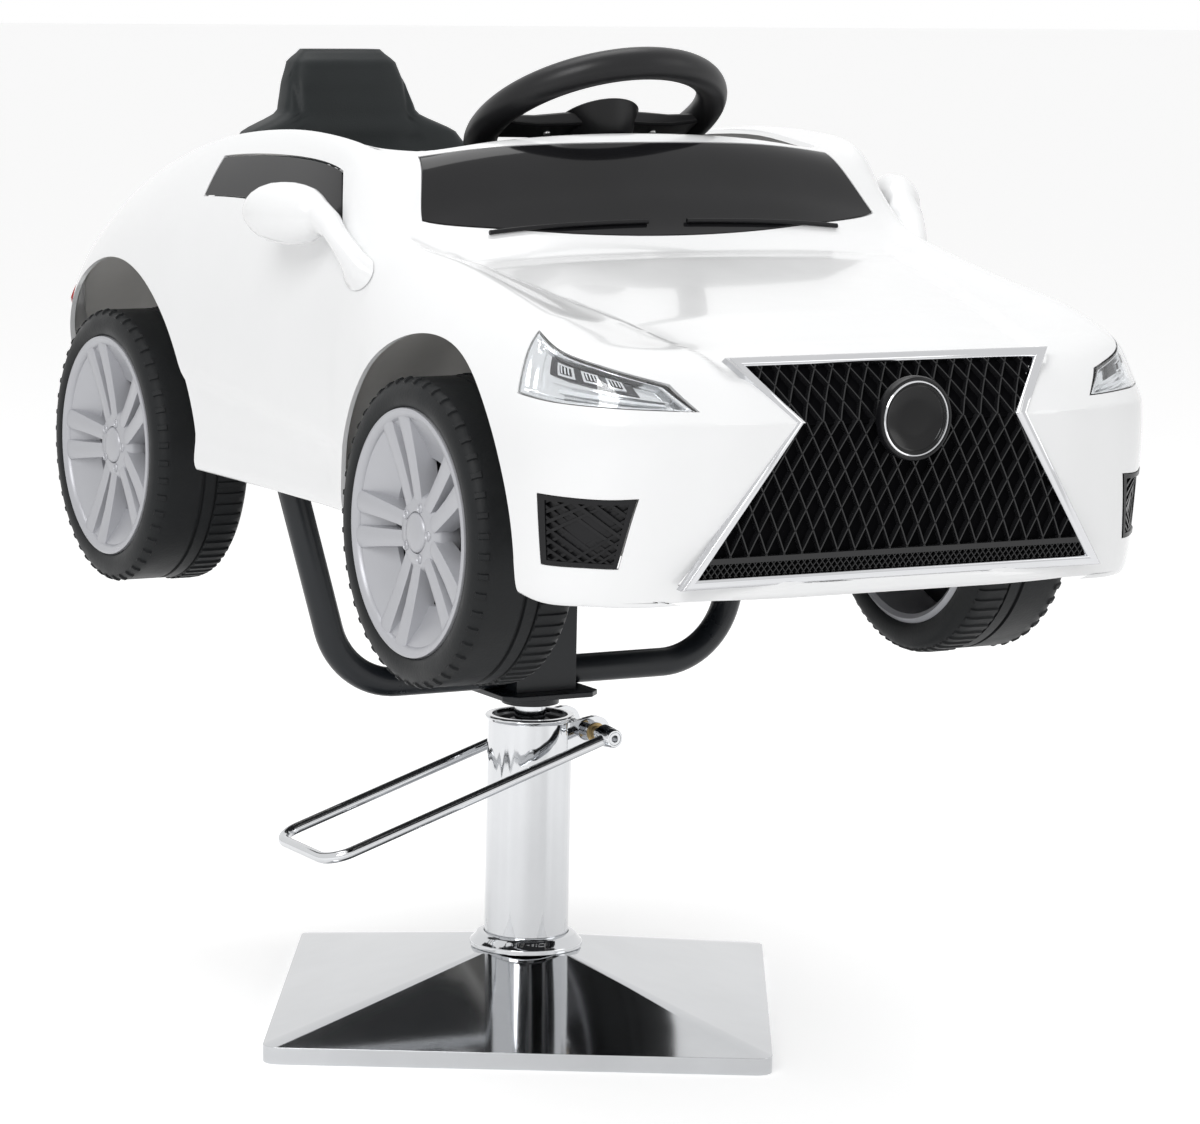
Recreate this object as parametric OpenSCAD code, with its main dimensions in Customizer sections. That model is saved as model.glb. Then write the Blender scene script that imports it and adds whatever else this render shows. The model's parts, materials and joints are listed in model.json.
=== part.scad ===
// Child's barber chair: a toy car body on a tube frame, a foot pump and a square base.
// Origin: on the floor under the pump. The car's nose points to -Y, its left side to +X.

/* [Base] */
// Side of the square base cover
base_side = 440; // [400:5:480]
// Height of the upright lip round the base cover
base_lip = 15; // [12:1:20]
// Rise of the sloping faces above the lip
base_rise = 45; // [35:1:55]
// Radius of the base cover's corners
base_corner_r = 14; // [10:1:20]
// Thickness of the base cover's sheet
base_sheet = 2; // [1.5:0.1:2.5]
// Thickness of the steel floor plate
plate_t = 8; // [6:1:10]
// Turn of the base against the car
base_yaw = -30; // [-45:1:0]

/* [Pump] */
// Outer diameter of the pump cylinder
pump_d = 76; // [70:1:82]
// Wall of the pump cylinder
pump_wall = 4; // [3:0.5:5]
// Diameter of the lifting rod
rod_d = 28; // [26:1:32]
// Height of the frame's bottom tube above the floor
bar_h = 310; // [300:1:330]
// Length of rod that shows between the pump and the mounting boss
rod_show = 14; // [10:1:18]
// Stroke of the lifting rod
lift = 120; // [100:5:130]

/* [Pedal] */
// Diameter of the pedal's bent rod
pedal_rod_d = 10; // [9:0.5:11]
// Width of the pedal loop between rod centres
pedal_w = 112; // [108:1:120]
// Length of the pedal loop from its shaft
pedal_l = 290; // [270:5:300]
// Droop of the pedal loop below level
pedal_droop = 18; // [14:1:22]
// Diameter of the pedal shaft
shaft_d = 12; // [11:0.5:13]

/* [Frame] */
// Diameter of the bent frame tube
tube_d = 26; // [24:1:28]
// Length of the frame tube's level run
tube_level = 270; // [260:2:280]
// Bend radius of the frame tube
tube_bend_r = 70; // [64:1:76]
// Rise of the frame tube's legs above level
leg_rise = 74; // [72:0.5:76]
// Side of the square post
post_side = 60; // [56:1:64]
// Wall of the square post
post_wall = 3; // [2:0.5:4]

/* [Body] */
// Length of the car body
body_l = 1100; // [1080:5:1120]
// Width of the car body
body_w = 576; // [570:1:590]
// Height of the car body from its lowest edge
body_h = 335; // [330:1:345]
// Height of the body's lowest edge above the frame's bottom tube
body_low = 155; // [150:1:160]
// Reach of the nose in front of the pump
nose_reach = 612; // [605:1:620]
// Wall of the body moulding
body_wall = 4; // [3.5:0.1:5]
// Radius of the front wheel arch's edge
arch_front_r = 158; // [154:1:162]
// Radius of the rear wheel arch's edge
arch_rear_r = 166; // [160:1:168]
// Length of the cockpit opening
cockpit_l = 550; // [540:5:555]
// Width of the cockpit opening
cockpit_w = 392; // [380:2:396]

/* [Wheels] */
// Distance between the front and rear hubs
wheelbase = 619; // [612:1:624]
// Diameter of the tyres
tyre_d = 250; // [240:2:254]
// Width of the tyres
tyre_w = 95; // [90:1:98]
// Diameter of the rims
rim_d = 202; // [196:1:206]
// Height of the hubs above the frame's bottom tube
hub_h = 181; // [178:1:184]
// Diameter of the axle rods
axle_d = 12; // [10:0.5:14]

/* [Steering] */
// Diameter of the steering wheel
wheel_d = 230; // [220:2:236]
// Thickness of the steering wheel's rim
wheel_rim = 25; // [22:1:28]
// Tilt of the steering column from upright
column_tilt = 30; // [28:1:32]
// Diameter of the steering column
column_d = 14; // [12:1:16]

/* [Seat] */
// Width of the seat
seat_w = 292; // [280:2:300]
// Height of the headrest above the seat cushion
seat_back_h = 245; // [235:1:250]

/* [Hidden] */

// Fits and cuts
overrun = 2;
fit_gap = 0.3;
running_gap = 0.05;
body_gap = 1;
seam_gap = 0.7;
round_fn = 48;
hull_fn = 32;

// Base and pump
cover_top_w = 88;
hole_bolt_d = 8.6;
bolt_d = 8;
bolt_head_d = 13;
bolt_head_h = 5;
flange_d = 170;
flange_t = 8;
flange_pcd = 136;
pump_r = pump_d / 2;
tube_inner_r = pump_r - pump_wall;
mount_t = 5;
mount_side = 96;
boss_d = 52;
mount_top = bar_h - tube_d / 2;
mount_low = mount_top - mount_t;
boss_h = 10;
pump_top = mount_low - boss_h - rod_show + 4 * body_gap;
head_h = 22;
head_sink = 5;
rod_foot_d = 44;
rod_foot_h = 12;
rod_low = pump_top - head_sink - head_h - lift - rod_foot_h - 10 * body_gap;
rod_r = rod_d / 2;
cover_top = base_lip + base_rise;
collar_w = 13;
collar_h = 13;
ring_bead = 2.5;

// Pedal
pivot_x = pump_r + 13;
pivot_z = pump_top - 16;
ear_t = 6;
ear_gap = 56;
ear_r = 15;
bush_d = shaft_d + 6;
bush_l = 9;
hub_d = 20;
hub_l = 20;
pedal_bend_r = 22;
shaft_l = pedal_w + hub_l;

// Frame
tube_sides = 24;
bend_steps = 9;
leg_x = tube_level / 2 + tube_bend_r * sin(leg_rise);
leg_z = tube_bend_r * (1 - cos(leg_rise));
tub_low = hub_h + 5;
foot_t = 5;
foot_w = 46;
foot_d = 60;
foot_x = leg_x + (tub_low - foot_t - leg_z) / tan(leg_rise);
top_plate_side = 120;
frame_bolt_pitch = 92;
frame_bolt_d = 6;
frame_bolt_head_d = 10;
frame_bolt_head_h = 4;

// Chassis tub
tub_wall = 4;
tub_narrow = 280;
tub_wide = 516;
tub_step = 14;
tub_top = 292;
tub_front = 470;
tub_back = 436;
tub_side_front = 150;
tub_side_back = 104;
tub_corner = 24;
tub_rib_t = 4;
tub_rib_h = 70;

// Wheels and axles
axle_y = wheelbase / 2;
wheel_out = body_w / 2 - 3;
tyre_r = tyre_d / 2;
rim_r = rim_d / 2;
axle_r = axle_d / 2;
kingpin_x = 165;
kingpin_d = 10;
beam_side = 20;
knuckle_w = 22;
knuckle_h = 44;
arm_l = 55;
arm_t = 6;
arm_w = 16;
tie_pin_d = 6;
tie_pin_h = 11;
tie_t = 5;
tie_w = 22;
crank_l = 22;
crank_w = 10;
crank_t = 5;
crank_drop = 7;
crank_ball_d = 8;
well_front_y = 330;
well_front_z = 185;
well_rear_y = 290;
well_rear_z = 190;
well_extra = 17;
well_t = 3;
well_in = 150;
well_eye = 48;
well_steps = 16;
arm_z = hub_h - arm_t - tie_pin_h / 2;
tie_z = arm_z + arm_t + fit_gap;
cap_d = 34;
cap_h = 7;

// Steering
wheel_y = -100;
wheel_z = 500;
wheel_r = wheel_d / 2 - wheel_rim / 2;
wheel_hub_d = 76;
wheel_hub_h = 26;
spoke_t = 14;
spoke_w = 30;
horn_d = 46;
horn_h = 7;
horn_travel = 3;
bush_od = 24;
floor_bush_l = 30;
column_drop = (wheel_z - tub_low - tub_step) / cos(column_tilt);
column_foot_y = wheel_y - column_drop * sin(column_tilt);

// Body surface: each row is one station from nose to tail, as shares of the body's length, half width and
// height: place, half width, low edge, waist height, shoulder out, shoulder height, rail out, rail height, crown.
body_shares = [
    [0.000, 0.35, 0.02, 0.32, 0.30, 0.48, 0.19, 0.51, 0.52],
    [0.005, 0.52, 0.01, 0.31, 0.44, 0.50, 0.28, 0.525, 0.535],
    [0.014, 0.65, 0.005, 0.30, 0.56, 0.51, 0.365, 0.54, 0.55],
    [0.026, 0.78, 0, 0.295, 0.69, 0.535, 0.45, 0.555, 0.565],
    [0.045, 0.88, 0, 0.30, 0.795, 0.56, 0.52, 0.573, 0.585],
    [0.084, 0.97, 0, 0.315, 0.855, 0.585, 0.59, 0.59, 0.606],
    [0.143, 0.995, 0.03, 0.33, 0.85, 0.63, 0.64, 0.62, 0.64],
    [0.220, 1.00, 0.07, 0.345, 0.83, 0.675, 0.665, 0.663, 0.685],
    [0.293, 0.993, 0.078, 0.36, 0.837, 0.715, 0.70, 0.707, 0.725],
    [0.338, 0.986, 0.078, 0.38, 0.86, 0.737, 0.743, 0.731, 0.75],
    [0.370, 0.976, 0.078, 0.39, 0.865, 0.77, 0.753, 0.797, 0.86],
    [0.402, 0.97, 0.078, 0.397, 0.858, 0.857, 0.722, 0.916, 0.98],
    [0.427, 0.965, 0.078, 0.40, 0.854, 0.94, 0.726, 0.952, 1.00],
    [0.470, 0.962, 0.078, 0.403, 0.851, 0.97, 0.743, 0.964, 0.97],
    [0.556, 0.962, 0.078, 0.409, 0.844, 0.97, 0.75, 0.982, 0.982],
    [0.656, 0.972, 0.078, 0.415, 0.844, 0.943, 0.75, 0.96, 0.96],
    [0.738, 0.993, 0.078, 0.409, 0.851, 0.893, 0.743, 0.916, 0.922],
    [0.829, 1.00, 0.084, 0.397, 0.854, 0.803, 0.712, 0.845, 0.87],
    [0.897, 0.99, 0.093, 0.379, 0.826, 0.713, 0.66, 0.76, 0.80],
    [0.943, 0.94, 0.10, 0.36, 0.77, 0.624, 0.583, 0.678, 0.725],
    [0.970, 0.855, 0.105, 0.343, 0.694, 0.552, 0.514, 0.606, 0.642],
    [0.988, 0.736, 0.116, 0.325, 0.597, 0.487, 0.424, 0.528, 0.558],
    [1.000, 0.52, 0.152, 0.319, 0.434, 0.421, 0.312, 0.451, 0.469]
];
// Shares that shape each cross-section between those heights
lip_share = 0.955;
lip_out_share = 0.985;
lip_rise_share = 0.03;
upper_out_share = 0.74;
upper_high_share = 0.6;
crown_in_share = 0.55;
crown_high_share = 0.75;
// How far the nose leans back above and below its waist, and where that fades out
nose_waist_share = 0.42;
lean_up_share = 0.67;
lean_low_share = 0.13;
lean_fade_share = 0.14;
probe_share = 0.02;

function station_row(k) = body_shares[min(max(k, 0), len(body_shares) - 1)];
function spline(a, b, c, d, f) =
    b + f * ((c - a) + f * ((2 * a - 5 * b + 4 * c - d) + f * (3 * (b - c) + d - a))) / 2;
function station(i) = let (k = min(max(floor(i), 0), len(body_shares) - 2))
    spline(station_row(k - 1), station_row(k), station_row(k + 1), station_row(k + 2), i - k);
function half_section(c) = let (
    half = c[1] * body_w / 2, low = body_low + c[2] * body_h, waist = body_low + c[3] * body_h,
    sx = c[4] * body_w / 2, sz = body_low + c[5] * body_h,
    rx = c[6] * body_w / 2, rz = body_low + c[7] * body_h, crown = body_low + c[8] * body_h)
    [
        [half * lip_share, low], [half * lip_out_share, low + lip_rise_share * body_h], [half, waist],
        [sx + (half - sx) * upper_out_share, waist + (sz - waist) * upper_high_share],
        [sx, sz], [rx, rz],
        [rx * crown_in_share, rz + (crown - rz) * crown_high_share], [0, crown]
    ];
spans = 7;
function section_at(points, v) = let (u = min(max(v, 0), 1) * spans, k = min(floor(u), spans - 1))
    spline(points[max(k - 1, 0)], points[k], points[k + 1],
        k + 2 > spans ? [-points[spans - 1][0], points[spans - 1][1]] : points[k + 2], u - k);
function lean(share, z) = max(0, 1 - share / lean_fade_share) * (z - body_low > nose_waist_share * body_h
    ? lean_up_share * (z - body_low - nose_waist_share * body_h)
    : lean_low_share * (nose_waist_share * body_h - (z - body_low)));
function body_point(i, v) = let (c = station(i), p = section_at(half_section(c), v))
    [p[0], c[0] * body_l - nose_reach + lean(c[0], p[1]), p[1]];
function unit(a) = a / norm(a);
last_station = len(body_shares) - 1;
function outward(i, v) = let (
    i0 = max(i - probe_share, 0), i1 = min(i + probe_share, last_station),
    v0 = max(v - probe_share, 0), v1 = min(v + probe_share, 1))
    unit(cross(body_point(i1, v) - body_point(i0, v), body_point(i, v1) - body_point(i, v0)));
function skin(i, v, depth) = v > 1 ? flip(skin(i, 2 - v, depth)) : let (p = body_point(i, v) - depth * outward(i, v))
    v == 1 ? [0, p[1], p[2]] : p;
function flip(p) = [-p[0], p[1], p[2]];
// Station at a given place along the car, and share round the section at a given height or width
function find_station(y, a, b, n) = n == 0 ? (a + b) / 2 :
    (station((a + b) / 2)[0] * body_l - nose_reach < y
        ? find_station(y, (a + b) / 2, b, n - 1) : find_station(y, a, (a + b) / 2, n - 1));
function station_at(y) = find_station(y, 0, last_station, 14);
function find_high(i, z, a, b, n) = n == 0 ? (a + b) / 2 :
    (body_point(i, (a + b) / 2)[2] < z ? find_high(i, z, (a + b) / 2, b, n - 1) : find_high(i, z, a, (a + b) / 2, n - 1));
function share_at_height(i, z) = find_high(i, z, 0, 5 / spans, 14);
function find_out(i, x, a, b, n) = n == 0 ? (a + b) / 2 :
    (body_point(i, (a + b) / 2)[0] > x ? find_out(i, x, (a + b) / 2, b, n - 1) : find_out(i, x, a, (a + b) / 2, n - 1));
function share_at_width(i, x) = find_out(i, x, 3 / spans, 1, 14);
function side_x(y, z) = let (i = station_at(y)) body_point(i, share_at_height(i, z))[0];

// Half width of the space inside the wall at a place and height, one correction step for the wall's slope
function inner_x(y, z, depth) = let (
    i0 = station_at(y), p = skin(i0, share_at_height(i0, z), depth),
    i = station_at(2 * y - p[1]), v = share_at_height(i, 2 * z - p[2])) skin(i, v, depth)[0];

// A closed solid through rings that all have the same number of points; flat ends fan out from each ring's first point
module loft(rings, flat_ends = false) {
    n = len(rings[0]);
    last = len(rings) - 1;
    points = concat([for (r = rings) for (p = r) p], flat_ends ? [] : [mean(rings[0]), mean(rings[last])]);
    foot = n * (last + 1);
    faces = concat(
        [for (i = [0:last - 1]) for (j = [0:n - 1]) let (k = (j + 1) % n)
            each [[i * n + j, i * n + k, (i + 1) * n + j], [i * n + k, (i + 1) * n + k, (i + 1) * n + j]]],
        flat_ends ? [for (j = [1:n - 2]) [0, j + 1, j]] : [for (j = [0:n - 1]) [foot, (j + 1) % n, j]],
        flat_ends ? [for (j = [1:n - 2]) [last * n, last * n + j, last * n + j + 1]]
            : [for (j = [0:n - 1]) [foot + 1, last * n + j, last * n + (j + 1) % n]]);
    polyhedron(points, faces, convexity = 8);
}
function mean(points) = [for (k = [0:2]) sum_of([for (p = points) p[k]]) / len(points)];
function sum_of(v, i = 0) = i == len(v) ? 0 : v[i] + sum_of(v, i + 1);

// Whole body outline, or the space inside its wall when depth is above zero
module body_solid(depth, step_i, step_v) {
    half_n = spans * step_v;
    loft([for (a = [0:last_station * step_i]) [for (b = [0:2 * half_n]) ring_point(a / step_i, b / half_n, depth)]]);
}
function ring_point(i, v, depth) = let (p = skin(i, v, depth))
    depth > 0 && (v == 0 || v == 2) ? [p[0], p[1], p[2] - 3 * depth - overrun] : p;

// A piece of the body's surface between two depths; corners are [along, up] on a side, drawn in at the inner depth by the taper
module side_piece(corners, depth_out, depth_in, nu, nv, taper = 0) {
    params = [for (q = [corners, grown(corners, -taper)])
        [for (c = q) let (i = station_at(c[0])) [i, share_at_height(i, c[1])]]];
    skin_grid(params, depth_out, depth_in, nu, nv);
}
function grid_param(q, a, b) = (1 - b) * ((1 - a) * q[0] + a * q[1]) + b * ((1 - a) * q[3] + a * q[2]);
module skin_grid(q, depth_out, depth_in, nu, nv) {
    loft([for (a = [0:nu]) concat(
        [for (b = [0:nv]) let (p = grid_param(q[0], a / nu, b / nv)) skin(p[0], p[1], depth_out)],
        [for (b = [nv:-1:0]) let (p = grid_param(q[1], a / nu, b / nv)) skin(p[0], p[1], depth_in)])]);
}
function grown(corners, gap) = [for (k = [0:3])
    corners[k] + gap * [k < 2 ? 1 : -1, k == 1 || k == 2 ? 1 : -1]];
module both_sides() {
    children();
    mirror([1, 0, 0]) children();
}

// Outlines on the body, as shares along and up: rear low, rear high, front high and front low corner
function along(share) = share * body_l - nose_reach;
function up(share) = body_low + share * body_h;
window_shares = [[0.675, 0.80], [0.665, 0.90], [0.443, 0.905], [0.418, 0.74]];
window = [for (s = window_shares) [along(s[0]), up(s[1])]];
headlight_shares = [[0.115, 0.47], [0.125, 0.605], [0.022, 0.505], [0.015, 0.45]];
headlight = [for (s = headlight_shares) [along(s[0]), up(s[1])]];
fog_shares = [[0.078, 0.09], [0.082, 0.25], [0.026, 0.25], [0.032, 0.09]];
fog = [for (s = fog_shares) [along(s[0]), up(s[1])]];
tail_shares = [[0.990, 0.34], [0.990, 0.42], [0.955, 0.53], [0.945, 0.45]];
tail = [for (s = tail_shares) [along(s[0]), up(s[1])]];
pane_t = 2;
lens_t = 2;
housing_t = 10;

// Grille outline: half widths at heights up the nose
grille_low_w = 182;
grille_waist_w = 98;
grille_top_w = 136;
grille_low_z = 176;
grille_waist_z = 296;
grille_top_z = 338;
grille_y = -nose_reach + 4;
grille_t = 5;
grille_back_t = 2;
grille_rim = 6;
mesh_pitch = 20;
mesh_bar = 2.6;
grille_low_tilt = 7;
grille_top_tilt = 36;
emblem_d = 66;
emblem_t = 7;
emblem_bead = 3;

// Base

module rounded_square(side, r, h) {
    hull() for (x = [-1, 1], y = [-1, 1])
        translate([x * (side / 2 - r), y * (side / 2 - r), 0]) cylinder(r = r, h = h, $fn = hull_fn);
}

module base_plate() color("dimgray") rotate([0, 0, base_yaw]) difference() {
    inner = base_side - 2 * base_sheet - 4 * body_gap;
    translate([-inner / 2, -inner / 2, 0]) cube([inner, inner, plate_t]);
    for (x = [-1, 1], y = [-1, 1]) translate([x * inner / 2, y * inner / 2, -overrun])
        rotate([0, 0, 45]) translate([-base_corner_r / 2, -base_corner_r, 0])
            cube([base_corner_r, 2 * base_corner_r, plate_t + 2 * overrun]);
    for (a = [45:90:315]) rotate([0, 0, a]) translate([flange_pcd / 2, 0, -overrun])
        cylinder(d = hole_bolt_d, h = plate_t + 2 * overrun, $fn = round_fn);
}

module base_cover() color("silver") rotate([0, 0, base_yaw]) difference() {
    hull() {
        rounded_square(base_side, base_corner_r, base_lip);
        translate([0, 0, cover_top - base_sheet]) rounded_square(cover_top_w, base_corner_r / 2, base_sheet);
    }
    hull() {
        translate([0, 0, -overrun])
            rounded_square(base_side - 2 * base_sheet, base_corner_r - base_sheet, base_lip + overrun - base_sheet / 2);
        translate([0, 0, cover_top - 2 * base_sheet])
            rounded_square(cover_top_w - base_sheet, base_corner_r / 2, base_sheet);
    }
    cylinder(r = pump_r + fit_gap, h = cover_top + overrun, $fn = round_fn);
}

module pump_bolts() color("gainsboro") rotate([0, 0, base_yaw]) for (a = [45:90:315])
    rotate([0, 0, a]) translate([flange_pcd / 2, 0, overrun / 2]) {
        cylinder(d = bolt_d, h = plate_t + flange_t - overrun / 2, $fn = round_fn);
        translate([0, 0, plate_t + flange_t - overrun / 2]) cylinder(d = bolt_head_d, h = bolt_head_h, $fn = 6);
    }

module pump_cylinder() color("silver") rotate([0, 0, base_yaw]) difference() {
    rotate_extrude($fn = round_fn) polygon([
        [0, plate_t], [flange_d / 2, plate_t], [flange_d / 2, plate_t + flange_t], [pump_r, plate_t + flange_t],
        [pump_r, pump_top - 2 * ring_bead], [pump_r + ring_bead, pump_top - ring_bead],
        [pump_r + ring_bead, pump_top - ring_bead / 2], [pump_r + ring_bead / 2, pump_top],
        [tube_inner_r, pump_top], [tube_inner_r, plate_t + flange_t + pump_wall],
        [0, plate_t + flange_t + pump_wall]]);
    for (a = [45:90:315]) rotate([0, 0, a]) translate([flange_pcd / 2, 0, plate_t - overrun])
        cylinder(d = hole_bolt_d, h = flange_t + 2 * overrun, $fn = round_fn);
}

module pump_head() color("dimgray") translate([0, 0, pump_top - head_sink - head_h]) difference() {
    cylinder(r = tube_inner_r, h = head_h, $fn = round_fn);
    translate([0, 0, -overrun]) cylinder(r = rod_r + running_gap, h = head_h + 2 * overrun, $fn = round_fn);
    translate([0, 0, head_h - head_sink]) difference() {
        cylinder(r = tube_inner_r - pump_wall, h = head_sink + overrun, $fn = round_fn);
        cylinder(r = rod_r + pump_wall, h = head_sink + overrun, $fn = round_fn);
    }
}

module collar_ring() color("silver") translate([0, 0, cover_top]) rotate_extrude($fn = round_fn) polygon([
    [pump_r + fit_gap, 0], [pump_r + collar_w, 0], [pump_r + collar_w, collar_h / 3],
    [pump_r + collar_w - ring_bead, collar_h / 2], [pump_r + collar_w / 2, collar_h - ring_bead / 2],
    [pump_r + ring_bead, collar_h], [pump_r + fit_gap, collar_h]]);

// Two ears on the back of the pump carry the pedal shaft
module lever_bracket() color("silver") difference() {
    for (side = [-1, 1]) difference() {
        translate([0, side * ear_gap / 2, 0]) hull() {
            translate([pivot_x, 0, pivot_z]) rotate([90, 0, 0])
                cylinder(r = ear_r, h = ear_t, center = true, $fn = hull_fn);
            translate([pump_r / 2, -ear_t / 2, pivot_z - ear_r]) cube([ear_t, ear_t, 2 * ear_r - head_sink]);
        }
        translate([0, 0, -overrun]) cylinder(r = pump_r, h = bar_h, $fn = round_fn);
        translate([0, 0, pump_top - 2 * ring_bead]) cylinder(r = pump_r + ring_bead + fit_gap, h = ear_r, $fn = round_fn);
    }
    translate([pivot_x, 0, pivot_z]) rotate([90, 0, 0])
        cylinder(d = bush_d, h = 2 * ear_gap, center = true, $fn = round_fn);
}

module lever_bushes() color("darkgoldenrod") for (side = [-1, 1])
    translate([pivot_x, side * ear_gap / 2, pivot_z]) rotate([90, 0, 0]) difference() {
        cylinder(d = bush_d, h = bush_l, center = true, $fn = round_fn);
        cylinder(d = shaft_d + 2 * running_gap, h = bush_l + overrun, center = true, $fn = round_fn);
    }

module piston_rod() color("silver") translate([0, 0, rod_low]) {
    cylinder(d = rod_foot_d, h = rod_foot_h, $fn = round_fn);
    cylinder(r = rod_r, h = mount_top - mount_t / 2 - fit_gap - rod_low, $fn = round_fn);
}

// Pedal

module pedal_loop() color("silver") translate([pivot_x, 0, pivot_z]) rotate([0, -pedal_droop, 0]) {
    reach = pedal_l - pedal_bend_r;
    for (side = [-1, 1]) translate([0, side * pedal_w / 2, 0]) {
        translate([-hub_d * 3 / 8, 0, 0]) rotate([0, -90, 0])
            cylinder(d = pedal_rod_d, h = reach - hub_d * 3 / 8, $fn = round_fn);
        difference() {
            rotate([side * -90, 0, 0]) translate([0, 0, -hub_l / 2]) cylinder(d1 = hub_d, d2 = hub_d * 4 / 5, h = hub_l, $fn = round_fn);
            rotate([90, 0, 0]) cylinder(d = shaft_d, h = hub_l + overrun, center = true, $fn = round_fn);
        }
        translate([-reach, -side * pedal_bend_r, 0]) rotate([0, 0, side > 0 ? 90 : 180])
            rotate_extrude(angle = 90, $fn = round_fn) translate([pedal_bend_r, 0]) circle(d = pedal_rod_d, $fn = round_fn);
    }
    translate([-pedal_l, 0, 0]) rotate([90, 0, 0])
        cylinder(d = pedal_rod_d, h = pedal_w - 2 * pedal_bend_r, center = true, $fn = round_fn);
}

module pedal_shaft() color("gray") translate([pivot_x, 0, pivot_z]) rotate([90, 0, 0]) difference() {
    cylinder(d = shaft_d, h = shaft_l, center = true, $fn = round_fn);
    for (side = [-1, 1]) translate([0, 0, side * shaft_l / 2])
        cylinder(d = shaft_d / 2, h = hub_l, center = true, $fn = round_fn);
}

// Frame

module mount_plate() color("black") difference() {
    union() {
        translate([-mount_side / 2, -mount_side / 2, mount_low]) cube([mount_side, mount_side, mount_t]);
        translate([0, 0, mount_low - boss_h]) cylinder(d = boss_d, h = boss_h + mount_t / 2, $fn = round_fn);
    }
    translate([0, 0, mount_low - boss_h - overrun])
        cylinder(r = rod_r + running_gap, h = boss_h + mount_t / 2 + overrun, $fn = round_fn);
    for (x = [-1, 1], y = [-1, 1]) translate([x * mount_side / 2, y * mount_side / 2, mount_low - overrun])
        rotate([0, 0, 45]) cube([mount_t * 3, mount_t * 3, 2 * mount_t + 2 * overrun], center = true);
}

module frame_post() color("black") translate([0, 0, bar_h]) {
    difference() {
        translate([-post_side / 2, -post_side / 2, -tube_d / 2])
            cube([post_side, post_side, tube_d / 2 + tub_low - foot_t]);
        translate([-post_side / 2 + post_wall, -post_side / 2 + post_wall, -tube_d / 2 - overrun])
            cube([post_side - 2 * post_wall, post_side - 2 * post_wall, tub_low + tube_d]);
        rotate([0, 90, 0]) cylinder(d = tube_d + 2 * fit_gap, h = 2 * post_side, center = true, $fn = round_fn);
    }
    difference() {
        translate([-top_plate_side / 2, -top_plate_side / 2, tub_low - foot_t])
            cube([top_plate_side, top_plate_side, foot_t]);
        for (x = [-1, 1], y = [-1, 1])
            translate([x * frame_bolt_pitch / 2, y * frame_bolt_pitch / 2, tub_low - foot_t - overrun])
                cylinder(d = frame_bolt_d + 2 * fit_gap, h = foot_t + 2 * overrun, $fn = round_fn);
    }
}

// The tube is swept as one form; its feet are cut level under the tub
function tube_ring(p, up) = [for (a = [0:360 / tube_sides:359]) p + tube_d / 2 * ([0, -cos(a), 0] + sin(a) * up)];
function bend_ring(side, t) = tube_ring(
    [side * (tube_level / 2 + tube_bend_r * sin(t)), 0, tube_bend_r * (1 - cos(t))], [-side * sin(t), 0, cos(t)]);
function foot_ring(side) = tube_ring([side * foot_x, 0, tub_low - foot_t], [-side / sin(leg_rise), 0, 0]);
module frame_tube() color("black") translate([0, 0, bar_h]) loft(concat(
    [foot_ring(-1)],
    [for (k = [bend_steps:-1:0]) bend_ring(-1, leg_rise * k / bend_steps)],
    [for (k = [0:bend_steps]) bend_ring(1, leg_rise * k / bend_steps)],
    [foot_ring(1)]));

module frame_feet() color("black") translate([0, 0, bar_h]) for (side = [-1, 1]) difference() {
    translate([side * (foot_x - overrun) - foot_w / 2, -foot_d / 2, tub_low - foot_t]) cube([foot_w, foot_d, foot_t]);
    for (y = [-1, 1]) translate([side * (foot_x - overrun), y * foot_d / 3, tub_low - foot_t - overrun])
        cylinder(d = frame_bolt_d + 2 * fit_gap, h = foot_t + 2 * overrun, $fn = round_fn);
}

module frame_bolt() {
    low = tub_low - foot_t;
    translate([0, 0, low - frame_bolt_head_h]) cylinder(d = frame_bolt_head_d, h = frame_bolt_head_h, $fn = 6);
    translate([0, 0, low - overrun / 4]) cylinder(d = frame_bolt_d, h = foot_t + tub_wall + overrun, $fn = round_fn);
}

module frame_bolts() color("gray") translate([0, 0, bar_h]) {
    for (x = [-1, 1], y = [-1, 1]) translate([x * frame_bolt_pitch / 2, y * frame_bolt_pitch / 2, 0]) frame_bolt();
    for (x = [-1, 1], y = [-1, 1]) translate([x * (foot_x - overrun), y * foot_d / 3, 0]) frame_bolt();
}

// Chassis tub: a deep pan, wide between the wheels and narrow beside them

function tub_plan(narrow, wide, front, back, side_front, side_back, c) = let (n = narrow / 2, w = wide / 2)
    [
        [-n + c, -front], [n - c, -front], [n, -front + c], [n, -side_front], [w - c, -side_front], [w, -side_front + c],
        [w, side_back - c], [w - c, side_back], [n, side_back], [n, back - c], [n - c, back], [-n + c, back],
        [-n, back - c], [-n, side_back], [-w + c, side_back], [-w, side_back - c], [-w, -side_front + c],
        [-w + c, -side_front], [-n, -side_front], [-n, -front + c]
    ];

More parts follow.
